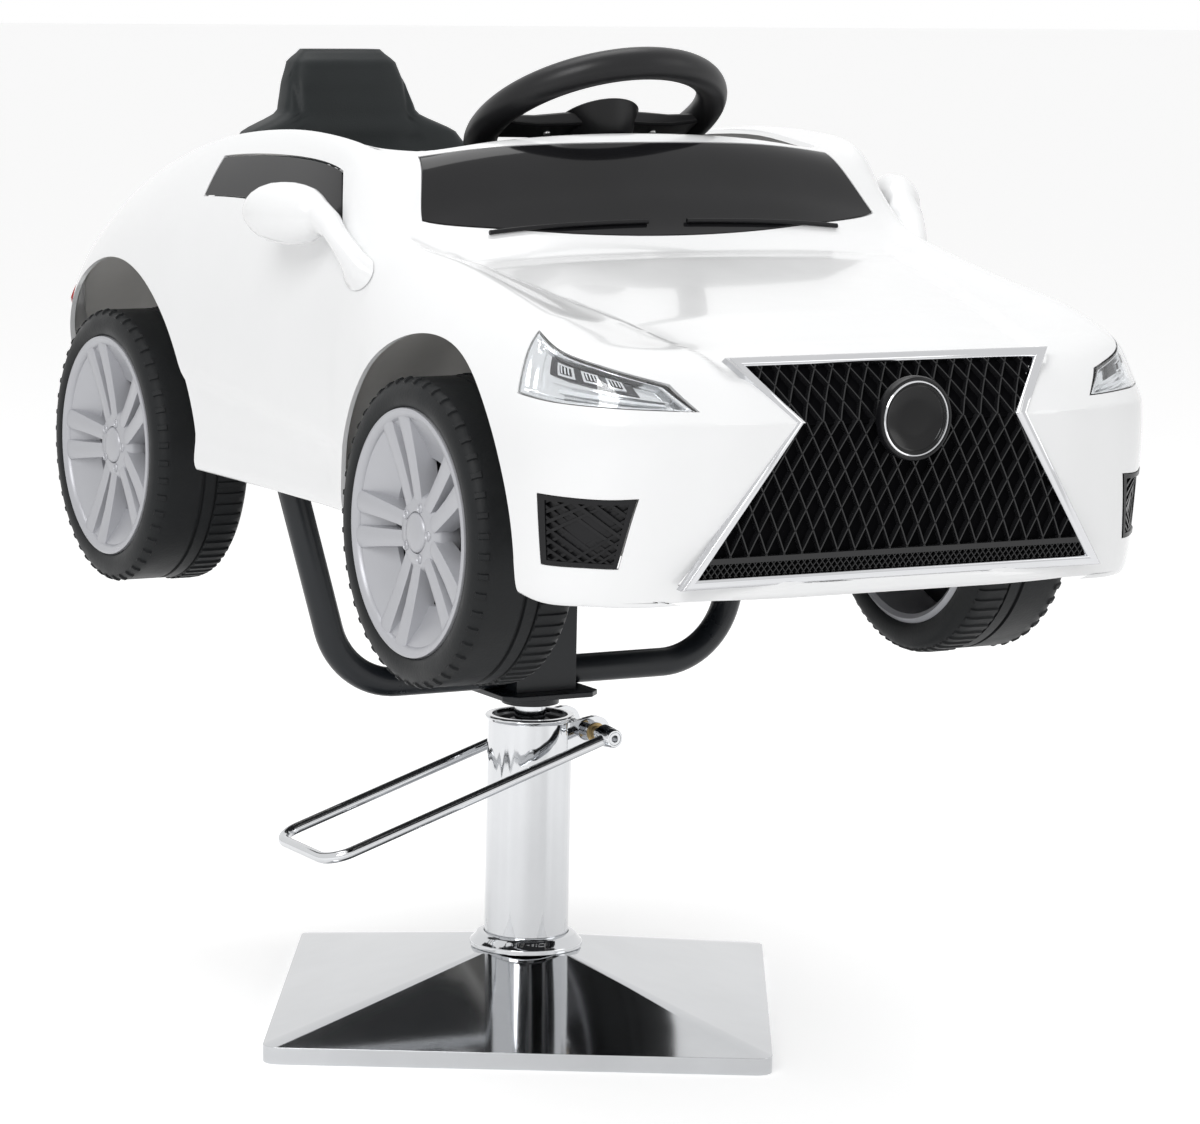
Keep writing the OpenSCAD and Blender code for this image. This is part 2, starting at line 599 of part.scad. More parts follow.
// The shell sits on a flange along each side
flange_half = inner_x(0, tub_low + tub_step, body_wall + 2 * fit_gap);
module chassis_tub() color("dimgray") translate([0, 0, bar_h]) difference() {
    union() {
        translate([0, 0, tub_low + tub_step]) linear_extrude(tub_top - tub_low - tub_step)
            polygon(tub_plan(tub_narrow, tub_wide, tub_front, tub_back, tub_side_front, tub_side_back, tub_corner));
        translate([-tub_wide / 2 + tub_corner, -tub_side_front, tub_low])
            cube([tub_wide - 2 * tub_corner, tub_side_front + tub_side_back, tub_step + overrun]);
        translate([-flange_half, -tub_side_front + tub_corner, tub_low + tub_step])
            cube([2 * flange_half, tub_side_front + tub_side_back - 2 * tub_corner, tub_wall]);
    }
    difference() {
        translate([0, 0, tub_low + tub_step + tub_wall]) linear_extrude(tub_top)
            polygon(tub_plan(tub_narrow - 2 * tub_wall, tub_wide - 2 * tub_wall, tub_front - tub_wall,
                tub_back - tub_wall, tub_side_front - tub_wall, tub_side_back - tub_wall, tub_corner));
        for (y = [-tub_side_front - tub_corner, tub_back - 2 * tub_corner])
            translate([-tub_narrow / 2, y, tub_low]) cube([tub_narrow, tub_rib_t, tub_rib_h]);
    }
    translate([-tub_wide / 2 + tub_corner + tub_wall, -tub_side_front + tub_wall, tub_low + tub_wall])
        cube([tub_wide - 2 * tub_corner - 2 * tub_wall, tub_side_front + tub_side_back - 2 * tub_wall, tub_top]);
    for (x = [-1, 1], y = [-1, 1]) {
        translate([x * frame_bolt_pitch / 2, y * frame_bolt_pitch / 2, tub_low - overrun])
            cylinder(d = frame_bolt_d + 2 * fit_gap, h = tub_wall + 2 * overrun, $fn = round_fn);
        translate([x * (foot_x - overrun), y * foot_d / 3, tub_low - overrun])
            cylinder(d = frame_bolt_d + 2 * fit_gap, h = tub_wall + 2 * overrun, $fn = round_fn);
    }
    column_line() translate([0, 0, -floor_bush_l]) cylinder(d = bush_od, h = 3 * floor_bush_l, $fn = round_fn);
}

// Body

module arch_cut(y, z, r) hull() {
    translate([0, y, z]) rotate([0, 90, 0]) cylinder(r = r, h = body_w, $fn = round_fn);
    translate([0, y - r, z - r]) cube([body_w, 2 * r, overrun]);
}

// Each row of the grille: low height, half width, high height, half width, and how far it grows at each end
module grille_opening(gap) {
    for (part = [[grille_low_z, grille_low_w, grille_waist_z, grille_waist_w, gap, 0],
                 [grille_waist_z, grille_waist_w, grille_top_z, grille_top_w, 0, gap]])
        let (slope = (part[3] - part[1]) / (part[2] - part[0]), side = gap * norm([1, slope]))
        hull() {
            opening_slab(part[0] - part[4], part[1] - slope * part[4] + side);
            opening_slab(part[2] + part[5], part[3] + slope * part[5] + side);
        }
}
module opening_slab(z, half) translate([-half, -nose_reach - 2 * grille_t, z - running_gap])
    cube([2 * half, nose_reach / 6, 2 * running_gap]);

// Cockpit opening with a flared rim
cockpit_mid = 130;
cockpit_r = 48;
cockpit_flare = 5;
module cockpit_corners(grow, low) hull() for (x = [-1, 1], y = [-1, 1])
    translate([x * (cockpit_w / 2 - cockpit_r), cockpit_mid + y * (cockpit_l / 2 - cockpit_r), low])
        cylinder(r1 = cockpit_r, r2 = cockpit_r + grow, h = body_h, $fn = hull_fn);
module cockpit_cut() {
    cockpit_corners(0, body_low + body_h / 2);
    cockpit_corners(cockpit_flare * 10, body_low + body_h * 9 / 10);
}

module body_shell() translate([0, 0, bar_h]) color("white") difference() {
    body_solid(0, 2, 2);
    body_solid(body_wall, 2, 2);
    both_sides() {
        arch_cut(-well_front_y, well_front_z, arch_front_r);
        arch_cut(well_rear_y, well_rear_z, arch_rear_r);
        side_piece(grown(window, 2 * seam_gap), -overrun, pane_t + 3 * seam_gap, 8, 4);
        side_piece(grown(headlight, 2 * seam_gap), -overrun, lens_t + housing_t + seam_gap, 6, 3);
        side_piece(grown(fog, seam_gap), -overrun, 3 * body_wall, 4, 2);
    }
    glass(body_gap, -overrun, pane_t + seam_gap);
    cockpit_cut();
    grille_opening(grille_rim + seam_gap);
}

// Windshield: places of its lower and upper edge at the middle and at the corner, and the corners' half widths
glass_mid_shares = [0.343, 0.402];
glass_corner_shares = [0.372, 0.415];
glass_out_shares = [0.76, 0.69];
glass_steps = 6;
function glass_corner(k, gap) = let (i = station_at(along(glass_corner_shares[k]) + (2 * k - 1) * gap))
    [i, share_at_width(i, glass_out_shares[k] * body_w / 2 + gap)];
function glass_mid(k, gap) = [station_at(along(glass_mid_shares[k]) + (2 * k - 1) * gap), 1];
function glass_edge(k, gap, t) = let (m = glass_mid(k, gap), c = glass_corner(k, gap), a = abs(t))
    [m[0] + (c[0] - m[0]) * a * a, t < 0 ? 2 - (m[1] + (c[1] - m[1]) * a) : m[1] + (c[1] - m[1]) * a];
module glass(gap, depth_out, depth_in) loft([for (a = [-glass_steps:glass_steps])
    let (low = glass_edge(0, gap, a / glass_steps), high = glass_edge(1, gap, a / glass_steps)) concat(
        [for (b = [0:4]) let (q = low + (high - low) * b / 4) skin(q[0], q[1], depth_out)],
        [for (b = [4:-1:0]) let (q = low + (high - low) * b / 4) skin(q[0], q[1], depth_in)])]);

module windshield() color([0.13, 0.13, 0.14]) translate([0, 0, bar_h]) glass(0, 0, pane_t);

module side_window() translate([0, 0, bar_h]) side_piece(window, 0, pane_t, 8, 4, 3 * seam_gap);
module side_window_left() color([0.16, 0.16, 0.17]) side_window();
module side_window_right() color([0.16, 0.16, 0.17]) mirror([1, 0, 0]) side_window();

module headlight_lens() translate([0, 0, bar_h]) side_piece(headlight, 0, lens_t, 6, 3);
module headlight_lens_left() color([0.9, 0.93, 0.95, 0.6]) headlight_lens();
module headlight_lens_right() color([0.9, 0.93, 0.95, 0.6]) mirror([1, 0, 0]) headlight_lens();
module headlight_housings() color("silver") translate([0, 0, bar_h]) both_sides()
    side_piece(grown(headlight, -seam_gap), lens_t + fit_gap, lens_t + housing_t, 6, 3);

module fog_grille() translate([0, 0, bar_h]) side_piece(fog, 0, body_wall, 4, 2);
module fog_grille_left() color("black") fog_grille();
module fog_grille_right() color("black") mirror([1, 0, 0]) fog_grille();

module tail_lamps() color("darkred") translate([0, 0, bar_h]) both_sides()
    side_piece(tail, -pane_t - 4 * fit_gap, -4 * fit_gap, 6, 3);

// Grille: two flat panels that meet at the waist, each leaning back

module grille_panel(low_w, high_w, tall, lattice) {
    slope = (high_w - low_w) / tall;
    rows = floor(tall / (mesh_pitch / 2));
    columns = ceil(max(low_w, high_w) / (mesh_pitch / 2));
    outline = [[-low_w, 0], [low_w, 0], [high_w, tall], [-high_w, tall]];
    half = mesh_pitch / 2 - mesh_bar / 2 * sqrt(2);
    centres = [for (r = [1:rows]) for (c = [-columns:columns])
        let (x = c * mesh_pitch / 2, z = r * mesh_pitch / 2)
        if ((r + c) % 2 == 0 && z - half > mesh_bar && z + half < tall - mesh_bar
            && abs(x) + half + mesh_bar < low_w + slope * (z + (slope < 0 ? half : -half))) [x, z]];
    holes = [for (c = centres) [c + [half, 0], c + [0, half], c - [half, 0], c - [0, half]]];
    if (lattice)
        linear_extrude(grille_t - grille_back_t) polygon(concat(outline, [for (h = holes) for (p = h) p]),
            paths = concat([[0, 1, 2, 3]], [for (k = [0:len(holes) - 1]) [for (j = [0:3]) 4 + 4 * k + j]]));
    else
        linear_extrude(grille_back_t) polygon(outline);
}

// Places a panel that is drawn flat with its lower edge at the origin
module low_place() translate([0, grille_y, grille_waist_z]) rotate([90 + grille_low_tilt, 0, 0])
    translate([0, -low_tall, 0]) children();
module top_place() translate([0, grille_y, grille_waist_z]) rotate([90 - grille_top_tilt, 0, 0]) children();
low_tall = (grille_waist_z - grille_low_z) / cos(grille_low_tilt);
top_tall = (grille_top_z - grille_waist_z) / cos(grille_top_tilt);

module grille_mesh() color([0.06, 0.06, 0.07]) translate([0, 0, bar_h]) {
    low_place() {
        translate([0, 0, -grille_t]) grille_panel(grille_low_w, grille_waist_w, low_tall - mesh_bar, false);
        translate([0, 0, grille_back_t - grille_t]) grille_panel(grille_low_w, grille_waist_w, low_tall - mesh_bar, true);
    }
    top_place() translate([0, mesh_bar, 0]) {
        translate([0, 0, -grille_t]) grille_panel(grille_waist_w, grille_top_w, top_tall - mesh_bar, false);
        translate([0, 0, grille_back_t - grille_t]) grille_panel(grille_waist_w, grille_top_w, top_tall - mesh_bar, true);
    }
}

// The frame's top part stands a little proud, so that its foot closes over the low part's end
module grille_frame() color("silver") translate([0, 0, bar_h]) {
    waist = grille_waist_w + grille_rim;
    low = grille_low_w + grille_rim;
    high = grille_top_w + grille_rim;
    in = grille_rim - fit_gap;
    low_place() translate([0, 0, -grille_t]) linear_extrude(grille_t) polygon([
        [-low, -grille_rim], [low, -grille_rim], [waist, low_tall], [waist - in, low_tall], [low - in, -fit_gap],
        [in - low, -fit_gap], [in - waist, low_tall], [-waist, low_tall]]);
    top_place() translate([0, 0, -grille_t]) linear_extrude(grille_t + fit_gap) polygon([
        [-waist - fit_gap, -mesh_bar / 2], [-grille_waist_w, -mesh_bar / 2], [-grille_waist_w, 0],
        [in - high, top_tall + fit_gap], [high - in, top_tall + fit_gap], [grille_waist_w, 0],
        [grille_waist_w, -mesh_bar / 2], [waist + fit_gap, -mesh_bar / 2], [waist + fit_gap, 0],
        [high, top_tall + grille_rim], [-high, top_tall + grille_rim], [-waist - fit_gap, 0]]);
}

module emblem_disc() color("black") translate([0, grille_y - fit_gap, bar_h + grille_waist_z])
    rotate([90, 0, 0]) rotate_extrude($fn = round_fn) polygon([
        [0, 0], [emblem_d / 2, 0], [emblem_d / 2, emblem_t - emblem_bead], [emblem_d / 2 - emblem_bead / 2, emblem_t],
        [emblem_d / 2 - emblem_bead, emblem_t], [emblem_d / 2 - emblem_bead * 3 / 2, emblem_t / 2], [0, emblem_t / 2]]);

// Wheel wells: liners that follow the body's inside from the arch edge to a back wall

module well(y, z, r) loft([for (k = [0:well_steps]) let (t = k * 180 / well_steps,
        out = min([for (q = [r, r + well_t]) inner_x(y + q * cos(t), z + q * sin(t), body_wall + 2 * seam_gap)]))
    [for (p = [[well_in, r], [well_in, well_eye], [well_in - well_t, well_eye], [well_in - well_t, r + well_t],
            [out, r + well_t], [out, r]])
        [p[0], y + p[1] * cos(t), z + p[1] * sin(t)]]], true);

module wheel_wells() color([0.66, 0.65, 0.63]) translate([0, 0, bar_h]) both_sides() {
    well(-well_front_y, well_front_z, arch_front_r + well_extra);
    well(well_rear_y, well_rear_z, arch_rear_r + well_extra);
}

// Mirrors: a swept-back head on a short stalk

mirror_x = 299;
mirror_y = -112;
mirror_z = 424;
mirror_l = 92;
mirror_h = 52;
mirror_t = 44;
mirror_sweep = 20;
mirror_foot_y = -190;
mirror_foot_z = 378;
stalk_r = 10;
stalk_steps = 3;
mirror_head_shares = [[0.07, 0.56], [0.2, 0.86], [0.42, 1], [0.68, 0.94], [0.88, 0.66], [1, 0.30]];
mirror_centre = [mirror_x, mirror_y, mirror_z];
mirror_axis = [sin(mirror_sweep), cos(mirror_sweep), 0];
mirror_turn = 90 - mirror_sweep;
function mirror_ring(p, w, h, turn, lean) = [for (a = [0:30:330])
    p + cos(a) * w * [sin(turn), -cos(turn), 0] + sin(a) * h * [-lean, 0, 1]];
function mirror_foot() = [for (a = [0:30:330])
    let (y = mirror_foot_y - cos(a) * stalk_r * 3 / 2, z = mirror_foot_z + sin(a) * stalk_r)
    [side_x(y, z) + body_gap, y, z]];
module mirror_body() {
    foot = [side_x(mirror_foot_y, mirror_foot_z) + body_gap, mirror_foot_y, mirror_foot_z];
    neck = mirror_centre - mirror_axis * mirror_l / 2;
    translate([0, 0, bar_h]) loft(concat(
        [mirror_foot()],
        [for (k = [1:stalk_steps - 1]) let (t = k / stalk_steps)
            mirror_ring(foot + (neck - foot) * t, stalk_r * (3 - t) / 2, stalk_r * (4 - t) / 4, mirror_turn * t, (1 - t) / 2)],
        [for (s = mirror_head_shares) mirror_ring(mirror_centre + (s[0] - 1 / 2) * mirror_l * mirror_axis,
            s[1] * mirror_t / 2, s[1] * mirror_h / 2, mirror_turn, 0)]));
}
module mirror_left() color("white") mirror_body();
module mirror_right() color("white") mirror([1, 0, 0]) mirror_body();

// Wipers: two thin arms that lie along the foot of the glass
wiper_l = 150;
wiper_d = 4;
wiper_steps = 6;
wiper_share = 0.352;
module wipers() color([0.1, 0.1, 0.1]) translate([0, 0, bar_h]) for (x0 = [-wiper_l * 9 / 8, wiper_l / 8])
    loft([for (k = [0:wiper_steps]) let (x = x0 + wiper_l * k / wiper_steps, i = station_at(along(wiper_share)),
            p = skin(i, share_at_width(i, abs(x)), -wiper_d / 2 - 2 * fit_gap))
        [for (a = [0:45:315]) [x, p[1] - cos(a) * wiper_d / 2, p[2] + sin(a) * wiper_d / 2]]]);

// Cockpit

dash_points = [[-150, 452], [-124, 448], [-104, 408], [-112, 352], [-150, 352]];
dash_half = min([for (p = [dash_points[0], dash_points[1]]) inner_x(p[0], p[1], body_wall + seam_gap)]);
module dashboard() color([0.12, 0.12, 0.13]) translate([0, 0, bar_h]) difference() {
    translate([-dash_half, 0, 0]) rotate([90, 0, 90]) linear_extrude(2 * dash_half) polygon(dash_points);
    column_line() cylinder(d = column_d + 4 * body_gap, h = wheel_z, $fn = round_fn);
}

seat_z = 296;
seat_front_y = 40;
seat_len = 340;
seat_base_w = tub_narrow - 2 * tub_wall - 2 * fit_gap;
seat_base_shares = [[0, 0.80, 0.30], [0.04, 0.90, 0.7], [0.14, 0.97, 0.96], [0.4, 1, 0.86], [0.7, 1, 0.86],
    [0.86, 1, 1], [0.98, 0.98, 1], [1, 0.94, 0.9]];
seat_base_t = 70;
function squarish(a) = [sign(cos(a)) * sqrt(abs(cos(a))), sign(sin(a)) * sqrt(abs(sin(a)))];
module seat_base() color([0.2, 0.21, 0.22]) translate([0, 0, bar_h]) loft([for (s = seat_base_shares)
    [for (a = [0:15:345]) let (q = squarish(a), dish = 1 - s[2])
        [q[0] * s[1] * seat_base_w / 2, seat_front_y + s[0] * seat_len,
            seat_z - seat_base_t / 2 + q[1] * seat_base_t / 2 * (q[1] > 0 ? 1 - dish * (1 - abs(q[0])) : 1)]]]);

// Seat back: rows of height, half width, thickness and lean
seat_back_shares = [[0.00, 0.86, 0.9, 0], [0.05, 0.95, 1, 0], [0.3, 1, 1, 0.12], [0.55, 0.94, 0.95, 0.28],
    [0.68, 0.76, 0.85, 0.38], [0.76, 0.48, 0.8, 0.46], [0.86, 0.43, 0.85, 0.58], [0.95, 0.37, 0.8, 0.68], [1, 0.28, 0.4, 0.72]];
seat_back_t = 52;
seat_back_y = 336;
seat_back_lean = 62;
module seat_back() color([0.2, 0.21, 0.22]) translate([0, 0, bar_h]) loft([for (s = seat_back_shares)
    [for (a = [345:-15:0]) let (q = squarish(a))
        [q[0] * s[1] * seat_w / 2, seat_back_y + seat_back_t / 2 + s[3] * seat_back_lean + q[1] * s[2] * seat_back_t / 2,
            seat_z + fit_gap + s[0] * seat_back_h]]]);

// Steering

module column_line() translate([0, wheel_y, wheel_z]) rotate([-column_tilt, 0, 0]) translate([0, 0, -column_drop]) children();

module column_bush() color("ivory") translate([0, 0, bar_h]) column_line() difference() {
    cylinder(d = bush_od, h = floor_bush_l, $fn = round_fn);
    translate([0, 0, -overrun]) cylinder(d = column_d + 2 * running_gap, h = floor_bush_l + 2 * overrun, $fn = round_fn);
}

module steering_column() color("dimgray") translate([0, 0, bar_h]) column_line() {
    crank_low = -crank_t - body_gap;
    translate([0, 0, crank_low]) {
        cylinder(d = column_d, h = column_drop - wheel_hub_h - crank_low, $fn = round_fn);
        translate([-crank_w / 2, 0, 0]) cube([crank_w, crank_l + crank_w / 4, crank_t]);
        translate([0, crank_l, 0]) rotate_extrude($fn = round_fn) polygon(concat(
            [for (a = [15:15:150]) crank_ball_d / 2 * [sin(a), -cos(a)] - [0, crank_drop]],
            [[crank_ball_d / 4, crank_t / 2], [0, crank_t / 2], [0, -crank_drop - crank_ball_d / 2 * cos(15)]]));
    }
}

module steering_wheel() color([0.13, 0.13, 0.13]) translate([0, wheel_y, bar_h + wheel_z]) rotate([-column_tilt, 0, 0]) difference() {
    union() {
        rotate_extrude($fn = round_fn) translate([wheel_r, 0]) circle(d = wheel_rim, $fn = round_fn);
        translate([0, 0, -wheel_hub_h]) cylinder(d1 = wheel_hub_d * 2 / 3, d2 = wheel_hub_d, h = wheel_hub_h, $fn = round_fn);
        for (a = [0:90:180]) rotate([0, 0, a]) translate([0, -spoke_w / 2, -spoke_t])
            cube([wheel_r, spoke_w, spoke_t]);
    }
    translate([0, 0, -horn_h]) cylinder(d = horn_d + 2 * fit_gap, h = horn_h + overrun, $fn = round_fn);
}

module horn_button() color([0.2, 0.2, 0.2]) translate([0, wheel_y, bar_h + wheel_z]) rotate([-column_tilt, 0, 0])
    translate([0, 0, horn_travel + fit_gap - horn_h]) cylinder(d = horn_d, h = horn_h, $fn = round_fn);

yoke_x = tub_narrow / 2 + body_gap;
module front_axle_beam() color("dimgray") translate([0, -axle_y, bar_h + hub_h]) difference() {
    union() {
        translate([-yoke_x - arm_t / 2, -beam_side / 2, -beam_side / 2]) cube([2 * yoke_x + arm_t, beam_side, beam_side]);
        both_sides() for (z = [-1, 1])
            translate([yoke_x, -knuckle_w / 2, z * (knuckle_h / 2 + arm_t / 2 + fit_gap) - arm_t / 2])
                cube([kingpin_x + knuckle_w / 2 - yoke_x, knuckle_w, arm_t]);
        both_sides() translate([yoke_x, -knuckle_w / 2, -knuckle_h / 2 - arm_t - fit_gap])
            cube([arm_t, knuckle_w, knuckle_h + 2 * arm_t + 2 * fit_gap]);
    }
    both_sides() translate([kingpin_x, 0, -knuckle_h]) cylinder(d = kingpin_d + 2 * running_gap, h = 2 * knuckle_h, $fn = round_fn);
}

module knuckle() translate([kingpin_x, -axle_y, bar_h + hub_h]) {
    translate([0, 0, -knuckle_h / 2 - arm_t]) cylinder(d = kingpin_d, h = knuckle_h + 2 * arm_t, $fn = round_fn);
    translate([0, 0, -knuckle_h / 2]) cylinder(d = knuckle_w, h = knuckle_h, $fn = round_fn);
    rotate([0, 90, 0]) cylinder(r = axle_r, h = wheel_out - kingpin_x - axle_end, $fn = round_fn);
    translate([-arm_w / 2, 0, -arm_t - tie_pin_h / 2]) cube([arm_w, arm_l + arm_w / 2, arm_t]);
    translate([0, arm_l, -tie_pin_h / 2]) cylinder(d = tie_pin_d, h = tie_pin_h, $fn = round_fn);
}
module knuckle_left() color("gray") knuckle();
module knuckle_right() color("gray") mirror([1, 0, 0]) knuckle();

module tie_rod() color("gray") translate([0, -axle_y + arm_l, bar_h + tie_z]) difference() {
    translate([-kingpin_x - tie_w / 2, -tie_w / 2, 0]) cube([2 * kingpin_x + tie_w, tie_w, tie_t]);
    both_sides() translate([kingpin_x, 0, -overrun]) cylinder(d = tie_pin_d + 4 * body_gap, h = tie_t + 2 * overrun, $fn = round_fn);
    translate([-crank_ball_d / 2 - body_gap * 3 / 2, -tie_w, -overrun]) cube([crank_ball_d + 3 * body_gap, tie_w, tie_t + 2 * overrun]);
}

module rear_axle() color("silver") translate([0, axle_y, bar_h + hub_h]) rotate([0, 90, 0])
    cylinder(r = axle_r, h = 2 * (wheel_out - axle_end), center = true, $fn = round_fn);

module axle_brackets() color("dimgray") translate([0, 0, bar_h]) for (x = [-1, 1]) {
    difference() {
        translate([x * bracket_x - arm_t / 2, axle_y - knuckle_w, hub_h - knuckle_w / 2]) cube([arm_t, 2 * knuckle_w, tub_low + tub_step - hub_h + knuckle_w / 2]);
        translate([x * bracket_x, axle_y, hub_h]) rotate([0, 90, 0]) cylinder(r = axle_r, h = 2 * arm_t, center = true, $fn = round_fn);
    }
    translate([x * bracket_x / 2 - arm_t / 2, -axle_y - beam_side / 2, hub_h + beam_side / 2]) cube([arm_t * 2, beam_side, tub_low + tub_step - hub_h - beam_side / 2]);
}
bracket_x = 120;

// Wheels

module at_wheel(x, y) translate([x * wheel_out, y * axle_y, bar_h + hub_h]) rotate([0, x > 0 ? -90 : 90, 0]) children();

groove = 3;
shoulder_r = 12;
blocks = 30;
block_gap = 4;
block_l = 16;
module tyre() difference() {
    rotate_extrude($fn = round_fn) polygon([
        [rim_r + fit_gap, groove], [rim_r + groove * 2, groove / 2], [tyre_r - shoulder_r, 0], [tyre_r - shoulder_r / 3, shoulder_r / 3],
        [tyre_r, shoulder_r], [tyre_r, tyre_w / 2 - groove], [tyre_r - groove, tyre_w / 2 - groove / 2],
        [tyre_r - groove, tyre_w / 2 + groove / 2], [tyre_r, tyre_w / 2 + groove], [tyre_r, tyre_w - shoulder_r],
        [tyre_r - shoulder_r / 3, tyre_w - shoulder_r / 3], [tyre_r - shoulder_r, tyre_w], [rim_r + groove * 2, tyre_w],
        [rim_r + fit_gap, tyre_w - groove]]);
    for (k = [0:blocks - 1]) rotate([0, 0, k * 360 / blocks]) for (s = [0, 1])
        translate([tyre_r - groove, -block_gap / 2, s == 0 ? -overrun : tyre_w - block_l])
            cube([shoulder_r, block_gap, block_l + overrun]);
}

// Rim: a barrel with five pairs of spokes, an axle tube and five lug dimples
barrel_t = 4;
spoke_root_w = 9;
spoke_tip_w = 14;
spoke_depth = 12;
spoke_sink = 10;
spoke_half_angle = 13;
rim_hub_d = 52;
spoke_root = rim_hub_d / 2 - groove;
lug_d = 7;
lug_pcd = 38;
axle_end = spoke_sink + groove + body_gap;
module rim() difference() {
    union() {
        rotate_extrude($fn = round_fn) polygon([
            [rim_r - 2 * barrel_t, groove / 2], [rim_r - barrel_t, 0], [rim_r, groove], [rim_r, tyre_w - groove], [rim_r - barrel_t, tyre_w],
            [rim_r - 2 * barrel_t, tyre_w - groove], [rim_r - 2 * barrel_t, groove]]);
        translate([0, 0, spoke_sink]) cylinder(d = rim_hub_d, h = spoke_depth + groove, $fn = round_fn);
        translate([0, 0, spoke_sink]) cylinder(d = axle_d + 4 * barrel_t, h = tyre_w - spoke_sink, $fn = round_fn);
        for (k = [0:4], s = [-1, 1]) rotate([0, 0, k * 72 + s * spoke_half_angle]) translate([0, 0, spoke_sink - groove])
            linear_extrude(spoke_depth) polygon([[spoke_root, -spoke_root_w / 2], [rim_r - barrel_t * 3 / 2, -spoke_tip_w / 2],
                [rim_r - barrel_t * 3 / 2, spoke_tip_w / 2], [spoke_root, spoke_root_w / 2]]);
    }
    cylinder(r = axle_r + running_gap, h = tyre_w, $fn = round_fn);
    translate([0, 0, -overrun]) cylinder(d = cap_d, h = spoke_sink + overrun + groove, $fn = round_fn);
    for (k = [0:4]) rotate([0, 0, k * 72 + 36]) translate([lug_pcd / 2 + groove, 0, spoke_sink - overrun])
        cylinder(d = lug_d, h = groove + overrun, $fn = round_fn);
}

module wheel_cap() translate([0, 0, spoke_sink + groove - cap_h]) rotate_extrude($fn = round_fn) polygon([
    [0, 0], [cap_d / 2 - groove, 0], [cap_d / 2 - fit_gap, groove / 2], [cap_d / 2 - fit_gap, cap_h], [0, cap_h]]);

module tyre_front_left() color([0.17, 0.17, 0.18]) at_wheel(1, -1) tyre();
module tyre_front_right() color([0.17, 0.17, 0.18]) at_wheel(-1, -1) tyre();
module tyre_rear_left() color([0.17, 0.17, 0.18]) at_wheel(1, 1) tyre();
module tyre_rear_right() color([0.17, 0.17, 0.18]) at_wheel(-1, 1) tyre();
module rim_front_left() color([0.72, 0.72, 0.74]) at_wheel(1, -1) rim();
module rim_front_right() color([0.72, 0.72, 0.74]) at_wheel(-1, -1) rim();
module rim_rear_left() color([0.72, 0.72, 0.74]) at_wheel(1, 1) rim();
module rim_rear_right() color([0.72, 0.72, 0.74]) at_wheel(-1, 1) rim();
module cap_front_left() color([0.72, 0.72, 0.74]) at_wheel(1, -1) wheel_cap();
module cap_front_right() color([0.72, 0.72, 0.74]) at_wheel(-1, -1) wheel_cap();
module cap_rear_left() color([0.72, 0.72, 0.74]) at_wheel(1, 1) wheel_cap();
module cap_rear_right() color([0.72, 0.72, 0.74]) at_wheel(-1, 1) wheel_cap();

base_plate();
base_cover();
pump_bolts();
pump_cylinder();
pump_head();
collar_ring();
lever_bracket();
lever_bushes();
piston_rod();
pedal_loop();
pedal_shaft();
mount_plate();
frame_post();
frame_tube();
frame_feet();
frame_bolts();
chassis_tub();
body_shell();
wheel_wells();
dashboard();
seat_base();
seat_back();
windshield();
wipers();
side_window_left();
side_window_right();
mirror_left();
mirror_right();
headlight_housings();
headlight_lens_left();
headlight_lens_right();
grille_mesh();
grille_frame();
emblem_disc();
fog_grille_left();
fog_grille_right();
tail_lamps();
front_axle_beam();
rear_axle();
axle_brackets();
column_bush();
steering_wheel();
steering_column();
horn_button();
tie_rod();
knuckle_left();
knuckle_right();
tyre_front_left();
tyre_front_right();
tyre_rear_left();
tyre_rear_right();
rim_front_left();
rim_front_right();
rim_rear_left();
rim_rear_right();
cap_front_left();
cap_front_right();
cap_rear_left();
cap_rear_right();
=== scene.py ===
import json
from math import atan2, ceil, cos, floor, hypot, pi, radians, sin

import bmesh
import bpy
from mathutils import Matrix, Vector


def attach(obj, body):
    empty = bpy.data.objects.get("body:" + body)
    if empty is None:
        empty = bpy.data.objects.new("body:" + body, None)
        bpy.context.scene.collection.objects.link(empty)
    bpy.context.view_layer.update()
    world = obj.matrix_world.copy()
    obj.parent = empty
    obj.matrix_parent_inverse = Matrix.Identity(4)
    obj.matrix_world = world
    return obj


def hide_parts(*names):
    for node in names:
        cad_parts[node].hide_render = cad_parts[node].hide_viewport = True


for name in ("Cube", "Light", "Camera"):
    if name in bpy.data.objects:
        bpy.data.objects.remove(bpy.data.objects[name])
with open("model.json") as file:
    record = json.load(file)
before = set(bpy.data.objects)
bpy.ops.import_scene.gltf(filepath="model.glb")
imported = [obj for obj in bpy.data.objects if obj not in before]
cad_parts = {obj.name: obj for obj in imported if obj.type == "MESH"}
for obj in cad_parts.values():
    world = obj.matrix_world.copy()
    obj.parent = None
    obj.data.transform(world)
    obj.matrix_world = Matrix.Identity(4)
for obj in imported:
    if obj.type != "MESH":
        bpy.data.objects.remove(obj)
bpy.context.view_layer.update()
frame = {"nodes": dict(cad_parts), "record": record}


def add_object(name, data):
    made = bpy.data.objects.new(name, data)
    bpy.context.scene.collection.objects.link(made)
    return made


def looking(place, aim):
    """The place and turn of a camera or lamp that looks at a point"""
    turn = (Vector(aim) - Vector(place)).to_track_quat("-Z", "Y").to_matrix().to_4x4()
    return Matrix.Translation(place) @ turn


